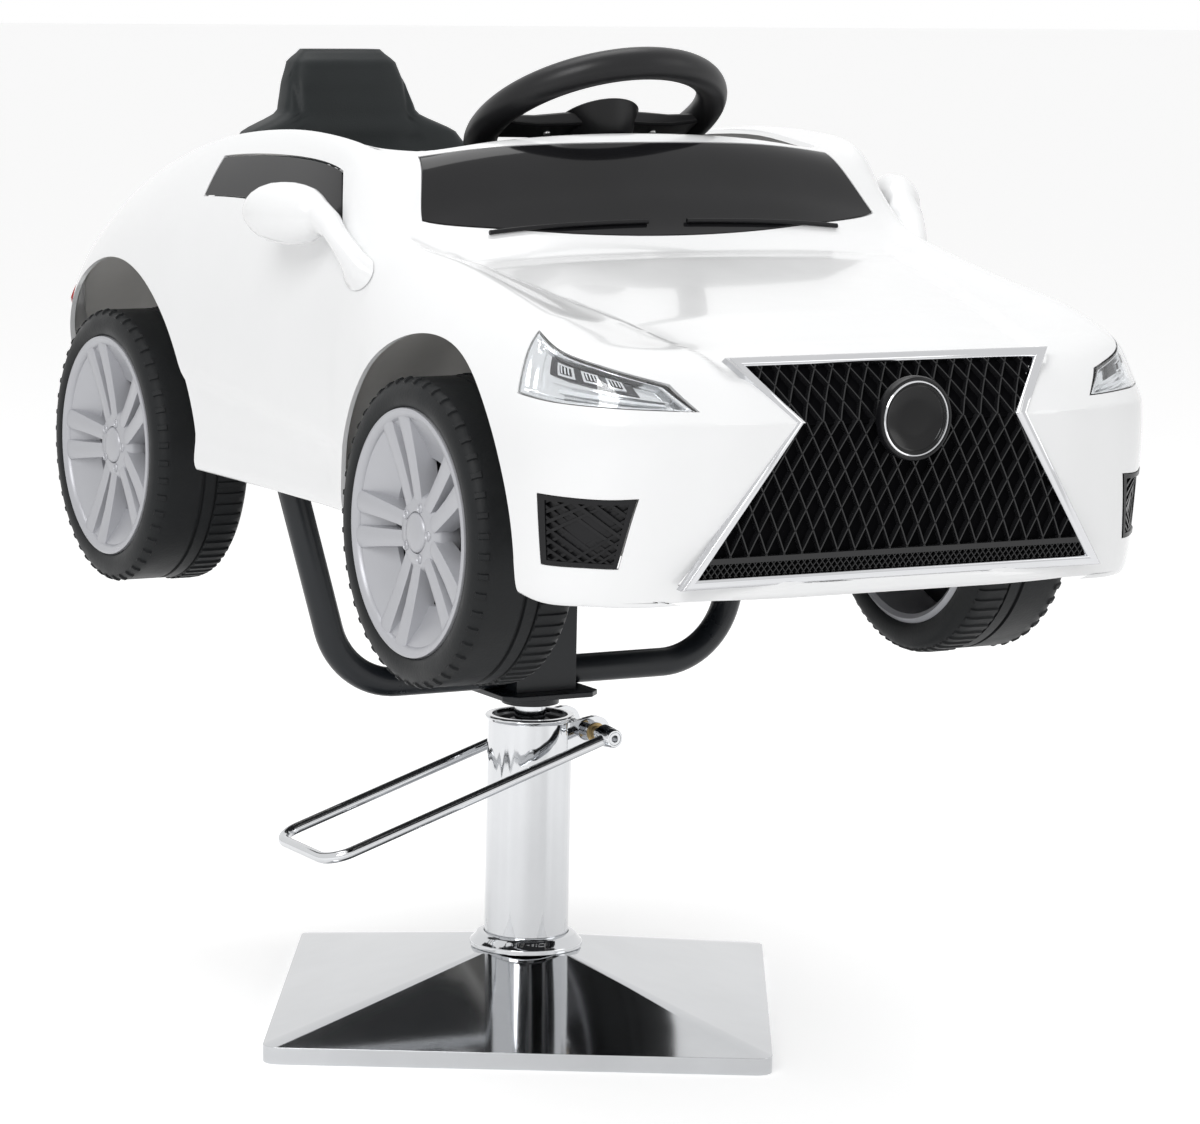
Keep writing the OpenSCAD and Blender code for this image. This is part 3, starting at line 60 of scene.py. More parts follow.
# Camera, at the photograph's place
camera_place = (-1.872, -3.45, 0.988)
camera_aim = (0.055, -0.025, 0.41)
camera_roll = radians(1.17)
camera_data = bpy.data.cameras.new("camera")
camera_data.lens = 132.9
camera_data.sensor_width = 36
camera = add_object("camera", camera_data)
camera.matrix_world = looking(camera_place, camera_aim) @ Matrix.Rotation(camera_roll, 4, "Z")
bpy.context.scene.camera = camera
bpy.context.scene.view_settings.view_transform = "Standard"


# Nodes of the finishes

def set_inputs(tree, node, values, feeds={}):
    for label, value in values.items():
        node.inputs[label].default_value = value
    for label, output in feeds.items():
        tree.links.new(output, node.inputs[label])
    return node


def add_node(tree, kind, values={}, feeds={}, **settings):
    """A node with its settings, the values of some inputs and the outputs that feed others"""
    made = tree.nodes.new("ShaderNode" + kind)
    for label, value in settings.items():
        setattr(made, label, value)
    return set_inputs(tree, made, values, feeds)


def new_material(name):
    material = bpy.data.materials.new(name)
    material.use_nodes = True
    return material, material.node_tree, material.node_tree.nodes["Principled BSDF"]


# Shared effects: each builds its nodes and gives the socket that its group puts out

def patches(tree, given, place):
    """Handled places: broad soft patches broken up by finer ones, from 0 to 1"""
    broad = add_node(tree, "TexNoise", {"Detail": 5, "Roughness": 0.62},
                     {"Vector": place, "Scale": given["Scale"]})
    spread = add_node(tree, "MapRange", {"From Min": 0.32, "From Max": 0.68}, {"Value": broad.outputs["Fac"]})
    return spread.outputs["Result"]


def grain(tree, given, place):
    """Moulded grain: fine pebbles over a faint slow unevenness"""
    pebbles = add_node(tree, "TexVoronoi", {}, {"Vector": place, "Scale": given["Scale"]},
                       feature="SMOOTH_F1")
    slow = add_node(tree, "TexNoise", {"Scale": 26, "Detail": 2}, {"Vector": place})
    feeds = {0: slow.outputs["Fac"], 1: given["Unevenness"], 2: pebbles.outputs["Distance"]}
    return add_node(tree, "Math", {}, feeds, operation="MULTIPLY_ADD").outputs[0]


def lines(tree, given, place):
    """Fine polishing lines: noise drawn out along one way"""
    drawn = add_node(tree, "Mapping", {"Rotation": (0, 0, radians(-30)), "Scale": (1, 26, 5)},
                     {"Vector": place})
    feeds = {"Vector": drawn.outputs["Vector"], "Scale": given["Scale"]}
    return add_node(tree, "TexNoise", {"Detail": 6}, feeds).outputs["Fac"]


def effect_group(name, inputs, output, build):
    group = bpy.data.node_groups.new(name, "ShaderNodeTree")
    for label, value in inputs.items():
        socket = group.interface.new_socket(label, in_out="INPUT", socket_type="NodeSocketFloat")
        socket.default_value = value
    group.interface.new_socket(output, in_out="OUTPUT", socket_type="NodeSocketFloat")
    source = group.nodes.new("NodeGroupInput")
    result = group.nodes.new("NodeGroupOutput")
    place = add_node(group, "TexCoord")
    shown = build(group, source.outputs, place.outputs["Object"])
    group.links.new(shown, result.inputs[output])
    return group


effects = {
    "patches": effect_group("handled_patches", {"Scale": 8.0}, "Mask", patches),
    "grain": effect_group("moulded_grain", {"Scale": 900.0, "Unevenness": 0.3}, "Height", grain),
    "lines": effect_group("polishing_lines", {"Scale": 40.0}, "Height", lines),
}
rough_spread = 0.2


def finish_of(name, colour, rough, metal=0.0, patch_scale=9.0, tint=0.06, height="grain", height_scale=900.0,
              depth=0.00004, coat=0.0, shine=0.5, strength=0.3):
    """One finish: colour and roughness vary over handled patches, and the height effect feeds its bump"""
    material, tree, shader = new_material(name)
    mask = add_node(tree, "Group", {"Scale": patch_scale}, node_tree=effects["patches"]).outputs["Mask"]
    relief = add_node(tree, "Group", {"Scale": height_scale}, node_tree=effects[height])
    ends = {"To Min": rough * (1 - rough_spread), "To Max": rough * (1 + rough_spread)}
    roughness = add_node(tree, "MapRange", ends, {"Value": mask})
    shades = {6: (*[c * (1 - tint) for c in colour], 1), 7: (*[min(1, c * (1 + tint)) for c in colour], 1)}
    shade = add_node(tree, "Mix", shades, {0: mask}, data_type="RGBA")
    bump = add_node(tree, "Bump", {"Distance": depth, "Strength": strength},
                    {"Height": relief.outputs["Height"]})
    values = {"Metallic": metal, "Coat Weight": coat, "Coat Roughness": 0.06, "Specular IOR Level": shine}
    feeds = {"Roughness": roughness.outputs["Result"], "Base Color": shade.outputs[2],
             "Normal": bump.outputs["Normal"]}
    set_inputs(tree, shader, values, feeds)
    return material


def glass_of(name, colour, rough):
    material, tree, shader = new_material(name)
    values = {"Base Color": (*colour, 1), "Roughness": rough, "Transmission Weight": 1, "IOR": 1.46}
    set_inputs(tree, shader, values)
    return material


def metal_of(name, colour, rough, tint, **more):
    return finish_of(name, colour, rough, metal=1, tint=tint, **more)


def polished(name, colour, rough, tint, height_scale, depth, strength, **more):
    """A metal with fine polishing lines"""
    return metal_of(name, colour, rough, tint, height="lines", height_scale=height_scale, depth=depth,
                    strength=strength, **more)


def dark_moulding(name, colour, rough, tint, shine, depth, strength=0.3, **more):
    return finish_of(name, colour, rough, tint=tint, shine=shine, depth=depth, strength=strength, **more)


finishes = {
    "body_white": finish_of("gloss white moulding", (0.87, 0.875, 0.88), 0.22, tint=0.008, coat=0.6,
                            depth=0.00002, strength=0.06, height_scale=500),
    "polish": polished("mirror-polished steel", (0.56, 0.57, 0.585), 0.075, 0.05, 60, 0.00003, 0.12,
                       patch_scale=7),
    "chrome": polished("chrome plate", (0.62, 0.63, 0.645), 0.06, 0.03, 90, 0.00002, 0.06),
    "bright_chrome": polished("bright trim plate", (0.6, 0.605, 0.62), 0.07, 0.02, 90, 0.00002, 0.05),
    "steel": polished("turned steel", (0.5, 0.5, 0.5), 0.32, 0.08, 160, 0.00004, 0.2),
    "dark_steel": metal_of("blackened steel", (0.09, 0.09, 0.095), 0.45, 0.2, height_scale=700),
    "brass": metal_of("sintered bronze", (0.45, 0.33, 0.16), 0.4, 0.12),
    "floor_steel": metal_of("ballast plate", (0.12, 0.12, 0.12), 0.5, 0.2),
    "frame_black": dark_moulding("black powder coat", (0.009, 0.011, 0.014), 0.3, 0.1, 0.35, 0.00008, 0.4,
                                 height_scale=650),
    "tub": dark_moulding("dark grey moulding", (0.03, 0.031, 0.033), 0.55, 0.12, 0.2, 0.0001),
    "dash": dark_moulding("grained black moulding", (0.014, 0.014, 0.015), 0.5, 0.15, 0.2, 0.00012, 0.5),
    "seat": dark_moulding("seat moulding", (0.016, 0.019, 0.02), 0.46, 0.14, 0.2, 0.00014, 0.5,
                          height_scale=720),
    "grip": dark_moulding("wheel grip moulding", (0.01, 0.01, 0.011), 0.36, 0.14, 0.3, 0.00012, 0.4),
    "tint_panel": dark_moulding("dark tinted panel", (0.009, 0.009, 0.01), 0.08, 0.15, 0.3, 0.00001, 0.05),
    "gloss_black": dark_moulding("gloss black badge", (0.003, 0.003, 0.0035), 0.16, 0.1, 0.3, 0.00001, 0.05),
    # The grille's back is black moulding, but this colour is darker and duller than the grille's own
    # moulding: painted shade behind the bars.
    "grille_back_painted_shade": dark_moulding("grille back darkened as painted shade", (0.0015, 0.0015, 0.002), 0.8, 0.1, 0.04, 0.00004),
    "grille_black": dark_moulding("grille moulding", (0.009, 0.009, 0.01), 0.26, 0.12, 0.4, 0.00005),
    "trim": dark_moulding("black trim moulding", (0.005, 0.005, 0.006), 0.34, 0.12, 0.25, 0.00006),
    "tyre": dark_moulding("tyre moulding", (0.013, 0.014, 0.015), 0.5, 0.16, 0.18, 0.0002, 0.5,
                          patch_scale=16, height_scale=420),
    # The wheel wells are white moulding like the body shell; their grey colour is painted shade, standing for
    # the shade deep inside the wells.
    "well": finish_of("white moulding greyed as painted shade", (0.62, 0.61, 0.59), 0.55, tint=0.06, patch_scale=14,
                      depth=0.0001),
    "rim": finish_of("silver grey paint", (0.45, 0.455, 0.48), 0.36, tint=0.03, metal=0.3, depth=0.00003,
                     height_scale=1400, strength=0.2),
    "lamp_silver": finish_of("silvered bowl", (0.78, 0.79, 0.8), 0.16, metal=0.9, tint=0.05, strength=0.1),
    "lamp_white": finish_of("lamp diffuser", (0.88, 0.9, 0.92), 0.2, tint=0.02, coat=0.5, strength=0.05),
    "lamp_red": finish_of("red lens", (0.33, 0.01, 0.012), 0.16, tint=0.12, coat=0.5, strength=0.05),
    "lens": glass_of("clear lens", (0.97, 0.98, 0.99), 0.03),
    "nylon": finish_of("nylon bush", (0.7, 0.69, 0.64), 0.5, tint=0.05),
}

NODE_BODY = {node: body for body, nodes in frame["record"]["behaviour"]["bodies"].items() for node in nodes}


# Making and placing pieces

def mesh_of(name, shape):
    mesh = bpy.data.meshes.new(name)
    shape.to_mesh(mesh)
    shape.free()
    return mesh


def dress(made, finish, node, sharp, edge=0.0, extra=False):
    """Gives an object its finish, smooth curves and rounded edges, and rides it on its node's body"""
    mesh = made.data
    mesh.shade_smooth()
    mesh.set_sharp_from_angle(angle=radians(sharp))
    mesh.materials.clear()
    mesh.materials.append(finishes[finish])
    if edge:
        rounding = made.modifiers.new("rounding", "BEVEL")
        rounding.width = edge
        rounding.segments = 2
        rounding.limit_method = "ANGLE"
        rounding.angle_limit = radians(sharp)
        rounding.harden_normals = True
    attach(made, NODE_BODY[node])
    if not extra:
        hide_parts(node)


def piece(name, shape, finish, node, sharp=34, edge=0.0, extra=False):
    """Turns a drawn shape into a finished piece; an extra one goes with its node and doesn't replace it"""
    bmesh.ops.remove_doubles(shape, verts=shape.verts, dist=1e-6)
    bmesh.ops.recalc_face_normals(shape, faces=shape.faces)
    dress(add_object(name, mesh_of(name, shape)), finish, node, sharp, edge, extra)


def refined(node, finish, edge, sharp=34):
    """A copy of a CAD node with its flat faces joined, its edges softened and its curves smooth"""
    shape = bmesh.new()
    shape.from_mesh(frame["nodes"][node].data)
    bmesh.ops.remove_doubles(shape, verts=shape.verts, dist=1e-6)
    bmesh.ops.dissolve_limit(shape, angle_limit=radians(0.6), verts=shape.verts, edges=shape.edges)
    name = node + "_piece"
    dress(add_object(name, mesh_of(name, shape)), finish, node, sharp, edge)


def joined(shapes):
    whole = bmesh.new()
    for shape in shapes:
        held = mesh_of("held", shape)
        whole.from_mesh(held)
        bpy.data.meshes.remove(held)
    return whole


def placed(shape, matrix):
    bmesh.ops.transform(shape, matrix=matrix, verts=shape.verts)
    return shape


def verts_in(geom):
    return [g for g in geom if isinstance(g, bmesh.types.BMVert)]


def edges_in(geom):
    return [g for g in geom if isinstance(g, bmesh.types.BMEdge)]


def everything(shape):
    return shape.verts[:] + shape.edges[:] + shape.faces[:]


def capped(shape, loop):
    """Closes a loop of edges with a fan of faces"""
    made = bmesh.ops.edgeloop_fill(shape, edges=loop)
    bmesh.ops.poke(shape, faces=made["faces"])


def thickened(shape, move):
    """Draws all faces out by a move, which leaves a closed solid"""
    made = bmesh.ops.extrude_face_region(shape, geom=shape.faces[:], use_keep_orig=True)["geom"]
    bmesh.ops.translate(shape, vec=move, verts=verts_in(made))
    return shape


def trimmed(shape, point, normal):
    """Takes away what lies beyond a plane and closes the cut"""
    made = bmesh.ops.bisect_plane(shape, geom=everything(shape), dist=1e-6, plane_co=point, plane_no=normal,
                                  clear_outer=True)
    bmesh.ops.holes_fill(shape, edges=edges_in(made["geom_cut"]), sides=0)
    return shape


def loft(rings, endless=False):
    """Bridges rings of points; the two ends are closed, or joined to each other if it is endless"""
    shape = bmesh.new()
    loops = []
    for ring in rings:
        verts = [shape.verts.new(p) for p in ring]
        loops.append([shape.edges.new((verts[k], verts[(k + 1) % len(verts)])) for k in range(len(verts))])
    for one, other in zip(loops, loops[1:] + loops[:1] if endless else loops[1:]):
        bmesh.ops.bridge_loops(shape, edges=one + other)
    if not endless:
        capped(shape, loops[0])
        capped(shape, loops[-1])
    return shape


def turned(profile, steps=96):
    """Spins a profile of (radius, height) round the z axis"""
    shape = bmesh.new()
    verts = [shape.verts.new((r, 0, z)) for r, z in profile]
    edges = [shape.edges.new(pair) for pair in zip(verts, verts[1:])]
    bmesh.ops.spin(shape, geom=verts + edges, cent=(0, 0, 0), axis=(0, 0, 1), angle=2 * pi, steps=steps,
                   use_merge=True)
    bmesh.ops.remove_doubles(shape, verts=shape.verts, dist=1e-6)
    return shape


def block(size, centre):
    shape = bmesh.new()
    bmesh.ops.create_cube(shape, size=1)
    bmesh.ops.scale(shape, vec=size, verts=shape.verts)
    bmesh.ops.translate(shape, vec=centre, verts=shape.verts)
    return shape


def bow(start, heading, axis, runs, bend, angle, radius, sides):
    """A round tube of three straight runs with two equal bends between them"""
    shape = bmesh.new()
    here, ahead, axis = Vector(start), Vector(heading).normalized(), Vector(axis)
    bmesh.ops.create_circle(shape, radius=radius, segments=sides)
    placed(shape, Matrix.Translation(here) @ ahead.to_track_quat("Z", "Y").to_matrix().to_4x4())
    front = shape.edges[:]
    first = front

    def open_edges(geom):
        return [edge for edge in edges_in(geom) if len(edge.link_faces) < 2]

    for number, length in enumerate(runs):
        if number:
            centre = here + bend * axis.cross(ahead)
            made = bmesh.ops.spin(shape, geom=front, cent=centre, axis=axis, angle=angle,
                                  steps=ceil(angle / radians(5) - 1e-6), use_merge=False)
            front = open_edges(made["geom_last"])
            spun = Matrix.Rotation(angle, 4, axis)
            here = centre + spun @ (here - centre)
            ahead = spun @ ahead
        made = bmesh.ops.extrude_edge_only(shape, edges=front)["geom"]
        bmesh.ops.translate(shape, vec=ahead * length, verts=verts_in(made))
        here = here + ahead * length
        front = open_edges(made)
    for loop in (first, front):
        bmesh.ops.edgeloop_fill(shape, edges=loop)
    return shape


# Body surface: rows from nose to tail, as shares of the body's length, half width and height: place,
# half width, low edge, waist height, shoulder out, shoulder height, rail out, rail height, crown
body_l, body_half, body_h = 1.1, 0.288, 0.335
car_level = 0.31
body_low = 0.155
nose_reach = 0.612
body_wall = 0.004
body_shares = [
    (0.000, 0.35, 0.02, 0.32, 0.3, 0.48, 0.19, 0.51, 0.52),
    (0.005, 0.52, 0.01, 0.31, 0.44, 0.5, 0.28, 0.525, 0.535),
    (0.014, 0.65, 0.005, 0.3, 0.56, 0.51, 0.365, 0.54, 0.55),
    (0.026, 0.78, 0, 0.295, 0.69, 0.535, 0.45, 0.555, 0.565),
    (0.045, 0.88, 0, 0.3, 0.795, 0.56, 0.52, 0.573, 0.585),
    (0.084, 0.97, 0, 0.315, 0.855, 0.585, 0.59, 0.59, 0.606),
    (0.143, 0.995, 0.03, 0.33, 0.85, 0.63, 0.64, 0.62, 0.64),
    (0.22, 1.00, 0.07, 0.345, 0.83, 0.675, 0.665, 0.663, 0.685),
    (0.293, 0.993, 0.078, 0.36, 0.837, 0.715, 0.7, 0.707, 0.725),
    (0.338, 0.986, 0.078, 0.38, 0.86, 0.737, 0.743, 0.731, 0.75),
    (0.37, 0.976, 0.078, 0.39, 0.865, 0.77, 0.753, 0.797, 0.86),
    (0.402, 0.97, 0.078, 0.397, 0.858, 0.857, 0.722, 0.916, 0.98),
    (0.427, 0.965, 0.078, 0.4, 0.854, 0.94, 0.726, 0.952, 1.00),
    (0.47, 0.962, 0.078, 0.403, 0.851, 0.97, 0.743, 0.964, 0.97),
    (0.556, 0.962, 0.078, 0.409, 0.844, 0.97, 0.75, 0.982, 0.982),
    (0.656, 0.972, 0.078, 0.415, 0.844, 0.943, 0.75, 0.96, 0.96),
    (0.738, 0.993, 0.078, 0.409, 0.851, 0.893, 0.743, 0.916, 0.922),
    (0.829, 1.00, 0.084, 0.397, 0.854, 0.803, 0.712, 0.845, 0.87),
    (0.897, 0.99, 0.093, 0.379, 0.826, 0.713, 0.66, 0.76, 0.8),
    (0.943, 0.94, 0.1, 0.36, 0.77, 0.624, 0.583, 0.678, 0.725),
    (0.97, 0.855, 0.105, 0.343, 0.694, 0.552, 0.514, 0.606, 0.642),
    (0.988, 0.736, 0.116, 0.325, 0.597, 0.487, 0.424, 0.528, 0.558),
    (1.000, 0.52, 0.152, 0.319, 0.434, 0.421, 0.312, 0.451, 0.469),
]
last_station = len(body_shares) - 1
spans = 7


def spline(a, b, c, d, f):
    return b + f * ((c - a) + f * ((2 * a - 5 * b + 4 * c - d) + f * (3 * (b - c) + d - a))) / 2


def station(i):
    k = min(max(floor(i), 0), last_station - 1)
    rows = [body_shares[min(max(k + n, 0), last_station)] for n in (-1, 0, 1, 2)]
    return [spline(*values, i - k) for values in zip(*rows)]


def body_point(i, v):
    c = station(i)
    half, low, waist = c[1] * body_half, body_low + c[2] * body_h, body_low + c[3] * body_h
    sx, sz, rx, rz = c[4] * body_half, body_low + c[5] * body_h, c[6] * body_half, body_low + c[7] * body_h
    crown = body_low + c[8] * body_h
    points = [(half * 0.955, low), (half * 0.985, low + 0.03 * body_h), (half, waist),
              (sx + (half - sx) * 0.74, waist + (sz - waist) * 0.6), (sx, sz), (rx, rz),
              (rx * 0.55, rz + (crown - rz) * 0.75), (0, crown)]
    u = min(max(v, 0), 1) * spans
    k = min(floor(u), spans - 1)
    after = points[k + 2] if k + 2 <= spans else (-points[spans - 1][0], points[spans - 1][1])
    x, z = [spline(points[max(k - 1, 0)][n], points[k][n], points[k + 1][n], after[n], u - k) for n in (0, 1)]
    above = z - body_low - 0.42 * body_h
    lean = max(0, 1 - c[0] / 0.14) * (0.67 * above if above > 0 else -0.13 * above)
    return Vector((x, c[0] * body_l - nose_reach + lean, z))


def ease(low, high, value):
    t = min(max((value - low) / (high - low), 0), 1)
    return t * t * (3 - 2 * t)


def skin(i, v, depth=0.0, relief=False):
    """A point of the body's surface at a station and a share round its section, some way under the surface"""
    if v > 1:
        p = skin(i, 2 - v, depth, relief)
        return Vector((-p[0], p[1], p[2]))
    here = body_point(i, v)
    i0, i1, v0, v1 = max(i - 0.02, 0), min(i + 0.02, last_station), max(v - 0.02, 0), min(v + 0.02, 1)
    out = (body_point(i1, v) - body_point(i0, v)).cross(body_point(i, v1) - body_point(i, v0)).normalized()
    if relief:
        depth += bonnet_sink(here) + door_sink(here)
    p = here - out * depth
    if v == 1:
        p[0] = 0
    p[2] += car_level
    return p


def bonnet_sink(p):
    """The bonnet's middle panel lies a little lower, inside creases from the grille to the pillars"""
    crease = 0.148 + (p[1] + 0.59) * 0.19
    across = 1 - ease(crease - 0.008, crease, abs(p[0]))
    along = ease(-0.585, -0.566, p[1]) * (1 - ease(-0.262, -0.235, p[1]))
    return 0.0046 * across * along * ease(0.3, 0.33, p[2])


def door_sink(p):
    """The side draws in under a crease that falls from the rear wheel to the front one"""
    crease = 0.262 + 0.1 * (p[1] - 0.1)
    along = ease(-0.19, -0.13, p[1]) * (1 - ease(0.12, 0.17, p[1]))
    return 0.0045 * along * ease(crease + 0.003, crease - 0.007, p[2]) * ease(0.185, 0.215, p[2])


def search(low, high, beyond, rounds=18):
    for _ in range(rounds):
        middle = (low + high) / 2
        low, high = (middle, high) if beyond(middle) else (low, middle)
    return (low + high) / 2


def station_at(y):
    return search(0, last_station, lambda i: station(i)[0] * body_l - nose_reach < y)


def share_at_height(i, z):
    return search(0, 5 / spans, lambda v: body_point(i, v)[2] < z)


def share_at_width(i, x):
    return search(3 / spans, 1, lambda v: body_point(i, v)[0] > x)


def side_x(y, z):
    i = station_at(y)
    return body_point(i, share_at_height(i, z))[0]


def along(share):
    return share * body_l - nose_reach


def corners_of(shares, gap=0.0):
    """Station and share of a side panel's corners: rear low, rear high, front high, front low"""
    out = []
    for k, (a, b) in enumerate(shares):
        i = station_at(along(a) + gap * (1 if k < 2 else -1))
        out.append((i, share_at_height(i, body_low + b * body_h + gap * (1 if k in (1, 2) else -1))))
    return out


def on_side(q, a, b, depth):
    low = [q[0][n] + (q[1][n] - q[0][n]) * a for n in (0, 1)]
    high = [q[3][n] + (q[2][n] - q[3][n]) * a for n in (0, 1)]
    i, v = [low[n] + (high[n] - low[n]) * b for n in (0, 1)]
    return skin(i, v, depth)


def sheet_on(place, out, inner, nu, nv):
    """A plate between two depths of the surface; place(a, b, depth) gives its points"""
    shape = bmesh.new()
    bmesh.ops.create_grid(shape, x_segments=nu, y_segments=nv, size=0.5)
    outer = set(shape.verts)
    bmesh.ops.extrude_face_region(shape, geom=shape.faces[:], use_keep_orig=True)
    for vert in shape.verts:
        vert.co = place(vert.co[0] + 0.5, vert.co[1] + 0.5, out if vert in outer else inner)
    bmesh.ops.recalc_face_normals(shape, faces=shape.faces)
    return shape


def side_sheet(q, out, inner):
    return sheet_on(lambda a, b, depth: on_side(q, a, b, depth), out, inner, 16, 24)


def both(shape):
    """Adds the piece's image on the other side of the car"""
    copied = bmesh.ops.duplicate(shape, geom=everything(shape))["geom"]
    bmesh.ops.scale(shape, vec=(-1, 1, 1), verts=verts_in(copied))
    bmesh.ops.reverse_faces(shape, faces=[g for g in copied if isinstance(g, bmesh.types.BMFace)])
    return shape


def mirrored(shape):
    bmesh.ops.scale(shape, vec=(-1, 1, 1), verts=shape.verts)
    bmesh.ops.reverse_faces(shape, faces=shape.faces)
    return shape


def pair(name, make, finish, node, **more):
    """A piece for the left side and its mirror image for the right"""
    piece(name + "_left", make(), finish, node + "_left", **more)
    piece(name + "_right", mirrored(make()), finish, node + "_right", **more)


# Corners of the side's openings, as shares of the body's length and height, and the gaps round their panels
window = [(0.675, 0.8), (0.665, 0.9), (0.443, 0.905), (0.418, 0.74)]
headlight = [(0.115, 0.47), (0.125, 0.605), (0.022, 0.505), (0.015, 0.45)]
fog = [(0.078, 0.09), (0.082, 0.25), (0.026, 0.25), (0.032, 0.09)]
tail = [(0.99, 0.34), (0.99, 0.42), (0.955, 0.53), (0.945, 0.45)]
seam = 0.0007
pane_t = 0.002
overrun = 0.002

# Windscreen: shares of its lower and upper edge at the middle and at the corner, and the corner's width
screen_middle = (0.343, 0.402)
screen_corner = (0.372, 0.415)
screen_width = (0.76, 0.69)


def screen_edge(k, gap, t):
    way = (2 * k - 1) * gap
    middle = (station_at(along(screen_middle[k]) + way), 1)
    i = station_at(along(screen_corner[k]) + way)
    corner = (i, share_at_width(i, screen_width[k] * body_half + gap))
    a = abs(t)
    v = middle[1] + (corner[1] - middle[1]) * a
    return middle[0] + (corner[0] - middle[0]) * a * a, 2 - v if t < 0 else v


def screen_point(a, b, depth, gap=0.0):
    t = 2 * a - 1
    low, high = [screen_edge(k, gap, t) for k in (0, 1)]
    return skin(low[0] + (high[0] - low[0]) * b, low[1] + (high[1] - low[1]) * b, depth)


# Body shell: outer skin less the inner one, then its openings

def closed_skin(depth, rows, columns):
    shape = bmesh.new()
    bmesh.ops.create_grid(shape, x_segments=rows, y_segments=columns, size=0.5)
    ends = ([], [])
    low = ([], [])
    for edge in shape.edges:
        xs, ys = [[v.co[n] + 0.5 for v in edge.verts] for n in (0, 1)]
        for side in (0, 1):
            if all(abs(x - side) < 1e-4 for x in xs):
                ends[side].append(edge)
            if all(abs(y - side) < 1e-4 for y in ys):
                low[side].append(edge)
    for vert in shape.verts:
        i, v = (vert.co[0] + 0.5) * last_station, (vert.co[1] + 0.5) * 2
        vert.co = skin(i, v, depth, relief=True)
        if depth > 0 and (v < 1e-4 or v > 2 - 1e-4):
            vert.co[2] -= 3 * depth + overrun
    bmesh.ops.bridge_loops(shape, edges=low[0] + low[1])
    for side in (0, 1):
        reached = {vert for edge in ends[side] for vert in edge.verts}
        capped(shape, [edge for edge in shape.edges if edge.is_boundary and edge.verts[0] in reached])
    bmesh.ops.recalc_face_normals(shape, faces=shape.faces)
    return shape


# Wheel arches: their middle along the car, its height over the car's level, and their radius
front_arch = (-0.33, 0.185, 0.158)
rear_arch = (0.29, 0.19, 0.166)


def arch_cutter(y, z, r):
    """A half round over the wheel with straight sides below it, from the middle of the car outwards"""
    shape = bmesh.new()
    bmesh.ops.create_circle(shape, cap_ends=True, radius=r, segments=144)
    placed(shape, Matrix.Translation((0, y, z + car_level)) @ Matrix.Rotation(pi / 2, 4, "Y"))
    thickened(shape, (0.3, 0, 0))
    for vert in shape.verts:
        if vert.co[2] < z + car_level:
            vert.co[2] = z + car_level - (r if abs(vert.co[1] - y) < r * 0.999 else 0.0)
    bmesh.ops.recalc_face_normals(shape, faces=shape.faces)
    return shape


def prism(outline, place):
    """A flat outline drawn out along its normal; place maps (x, y, 0 or 1) to a point"""
    shape = bmesh.new()
    shape.faces.new([shape.verts.new((x, y, 0)) for x, y in outline])
    thickened(shape, (0, 0, 1))
    for vert in shape.verts:
        vert.co = place(*vert.co)
    bmesh.ops.recalc_face_normals(shape, faces=shape.faces)
    return shape


def trapezium(low, low_w, high, high_w):
    return [(-low_w, low), (low_w, low), (high_w, high), (-high_w, high)]


def cockpit_outline(half_x, half_y, r, steps=12):
    return [(sx * (half_x - r) + r * cos(radians(a)), sy * (half_y - r) + r * sin(radians(a)))
            for sx, sy, first in ((1, 1, 0), (-1, 1, 90), (-1, -1, 180), (1, -1, 270))
            for a in [first + 90 * k / steps for k in range(steps + 1)]]


grille_low_w, grille_waist_w, grille_top_w = 0.182, 0.098, 0.136
grille_low_z, grille_waist_z, grille_top_z = 0.176, 0.296, 0.338
grille_y = -0.608
grille_t = 0.005
low_tilt, top_tilt = radians(7), radians(36)
low_tall = (grille_waist_z - grille_low_z) / cos(low_tilt)
top_tall = (grille_top_z - grille_waist_z) / cos(top_tilt)
grille_waist = Matrix.Translation((0, grille_y, grille_waist_z + car_level))
low_place = grille_waist @ Matrix.Rotation(pi / 2 + low_tilt, 4, "X") @ Matrix.Translation((0, -low_tall, 0))
top_place = grille_waist @ Matrix.Rotation(pi / 2 - top_tilt, 4, "X")
grille_faces = ((low_tall, grille_low_w, grille_waist_w, low_place),
                (top_tall, grille_waist_w, grille_top_w, top_place))


def grille_cutters():
    """Openings for the grille's two faces, each a little larger than its face"""
    for z0, w0, z1, w1, g0, g1, gap in (
            (grille_low_z, grille_low_w, grille_waist_z, grille_waist_w, 0.004, 0.0, 0.004),
            (grille_waist_z, grille_waist_w, grille_top_z, grille_top_w, 0.0, -0.001, 0.0)):
        slope = (w1 - w0) / (z1 - z0)
        side = gap * hypot(1, slope)
        yield prism(trapezium(z0 - g0, w0 - slope * g0 + side, z1 + g1, w1 + slope * g1 + side),
                    lambda x, z, far: Vector((x, -nose_reach - 0.01 + far * nose_reach / 6, z + car_level)))


def cut_away(made, cutters):
    tool = add_object("openings", mesh_of("openings", joined(cutters)))
    change = made.modifiers.new("openings", "BOOLEAN")
    change.operation = "DIFFERENCE"
    change.solver = "MANIFOLD"
    change.object = tool
    result = bpy.data.meshes.new_from_object(made.evaluated_get(bpy.context.evaluated_depsgraph_get()))
    made.modifiers.remove(change)
    made.data = result
    bpy.data.objects.remove(tool)


def cockpit_cutter():
    """A rounded opening that flares out towards its upper edge, less so at the front"""
    outlines = [cockpit_outline(0.196 + g, 0.275 + g, 0.048 + g) for g in (0, 0, 0.009, 0.022, 0.04)]
    levels = [body_low + 0.5 * body_h, 0.452, 0.466, 0.482, 0.52]
    return loft([[(x, max(y, 0.3 * y - 0.1925) + 0.13, z + car_level) for x, y in outline]
                 for outline, z in zip(outlines, levels)])


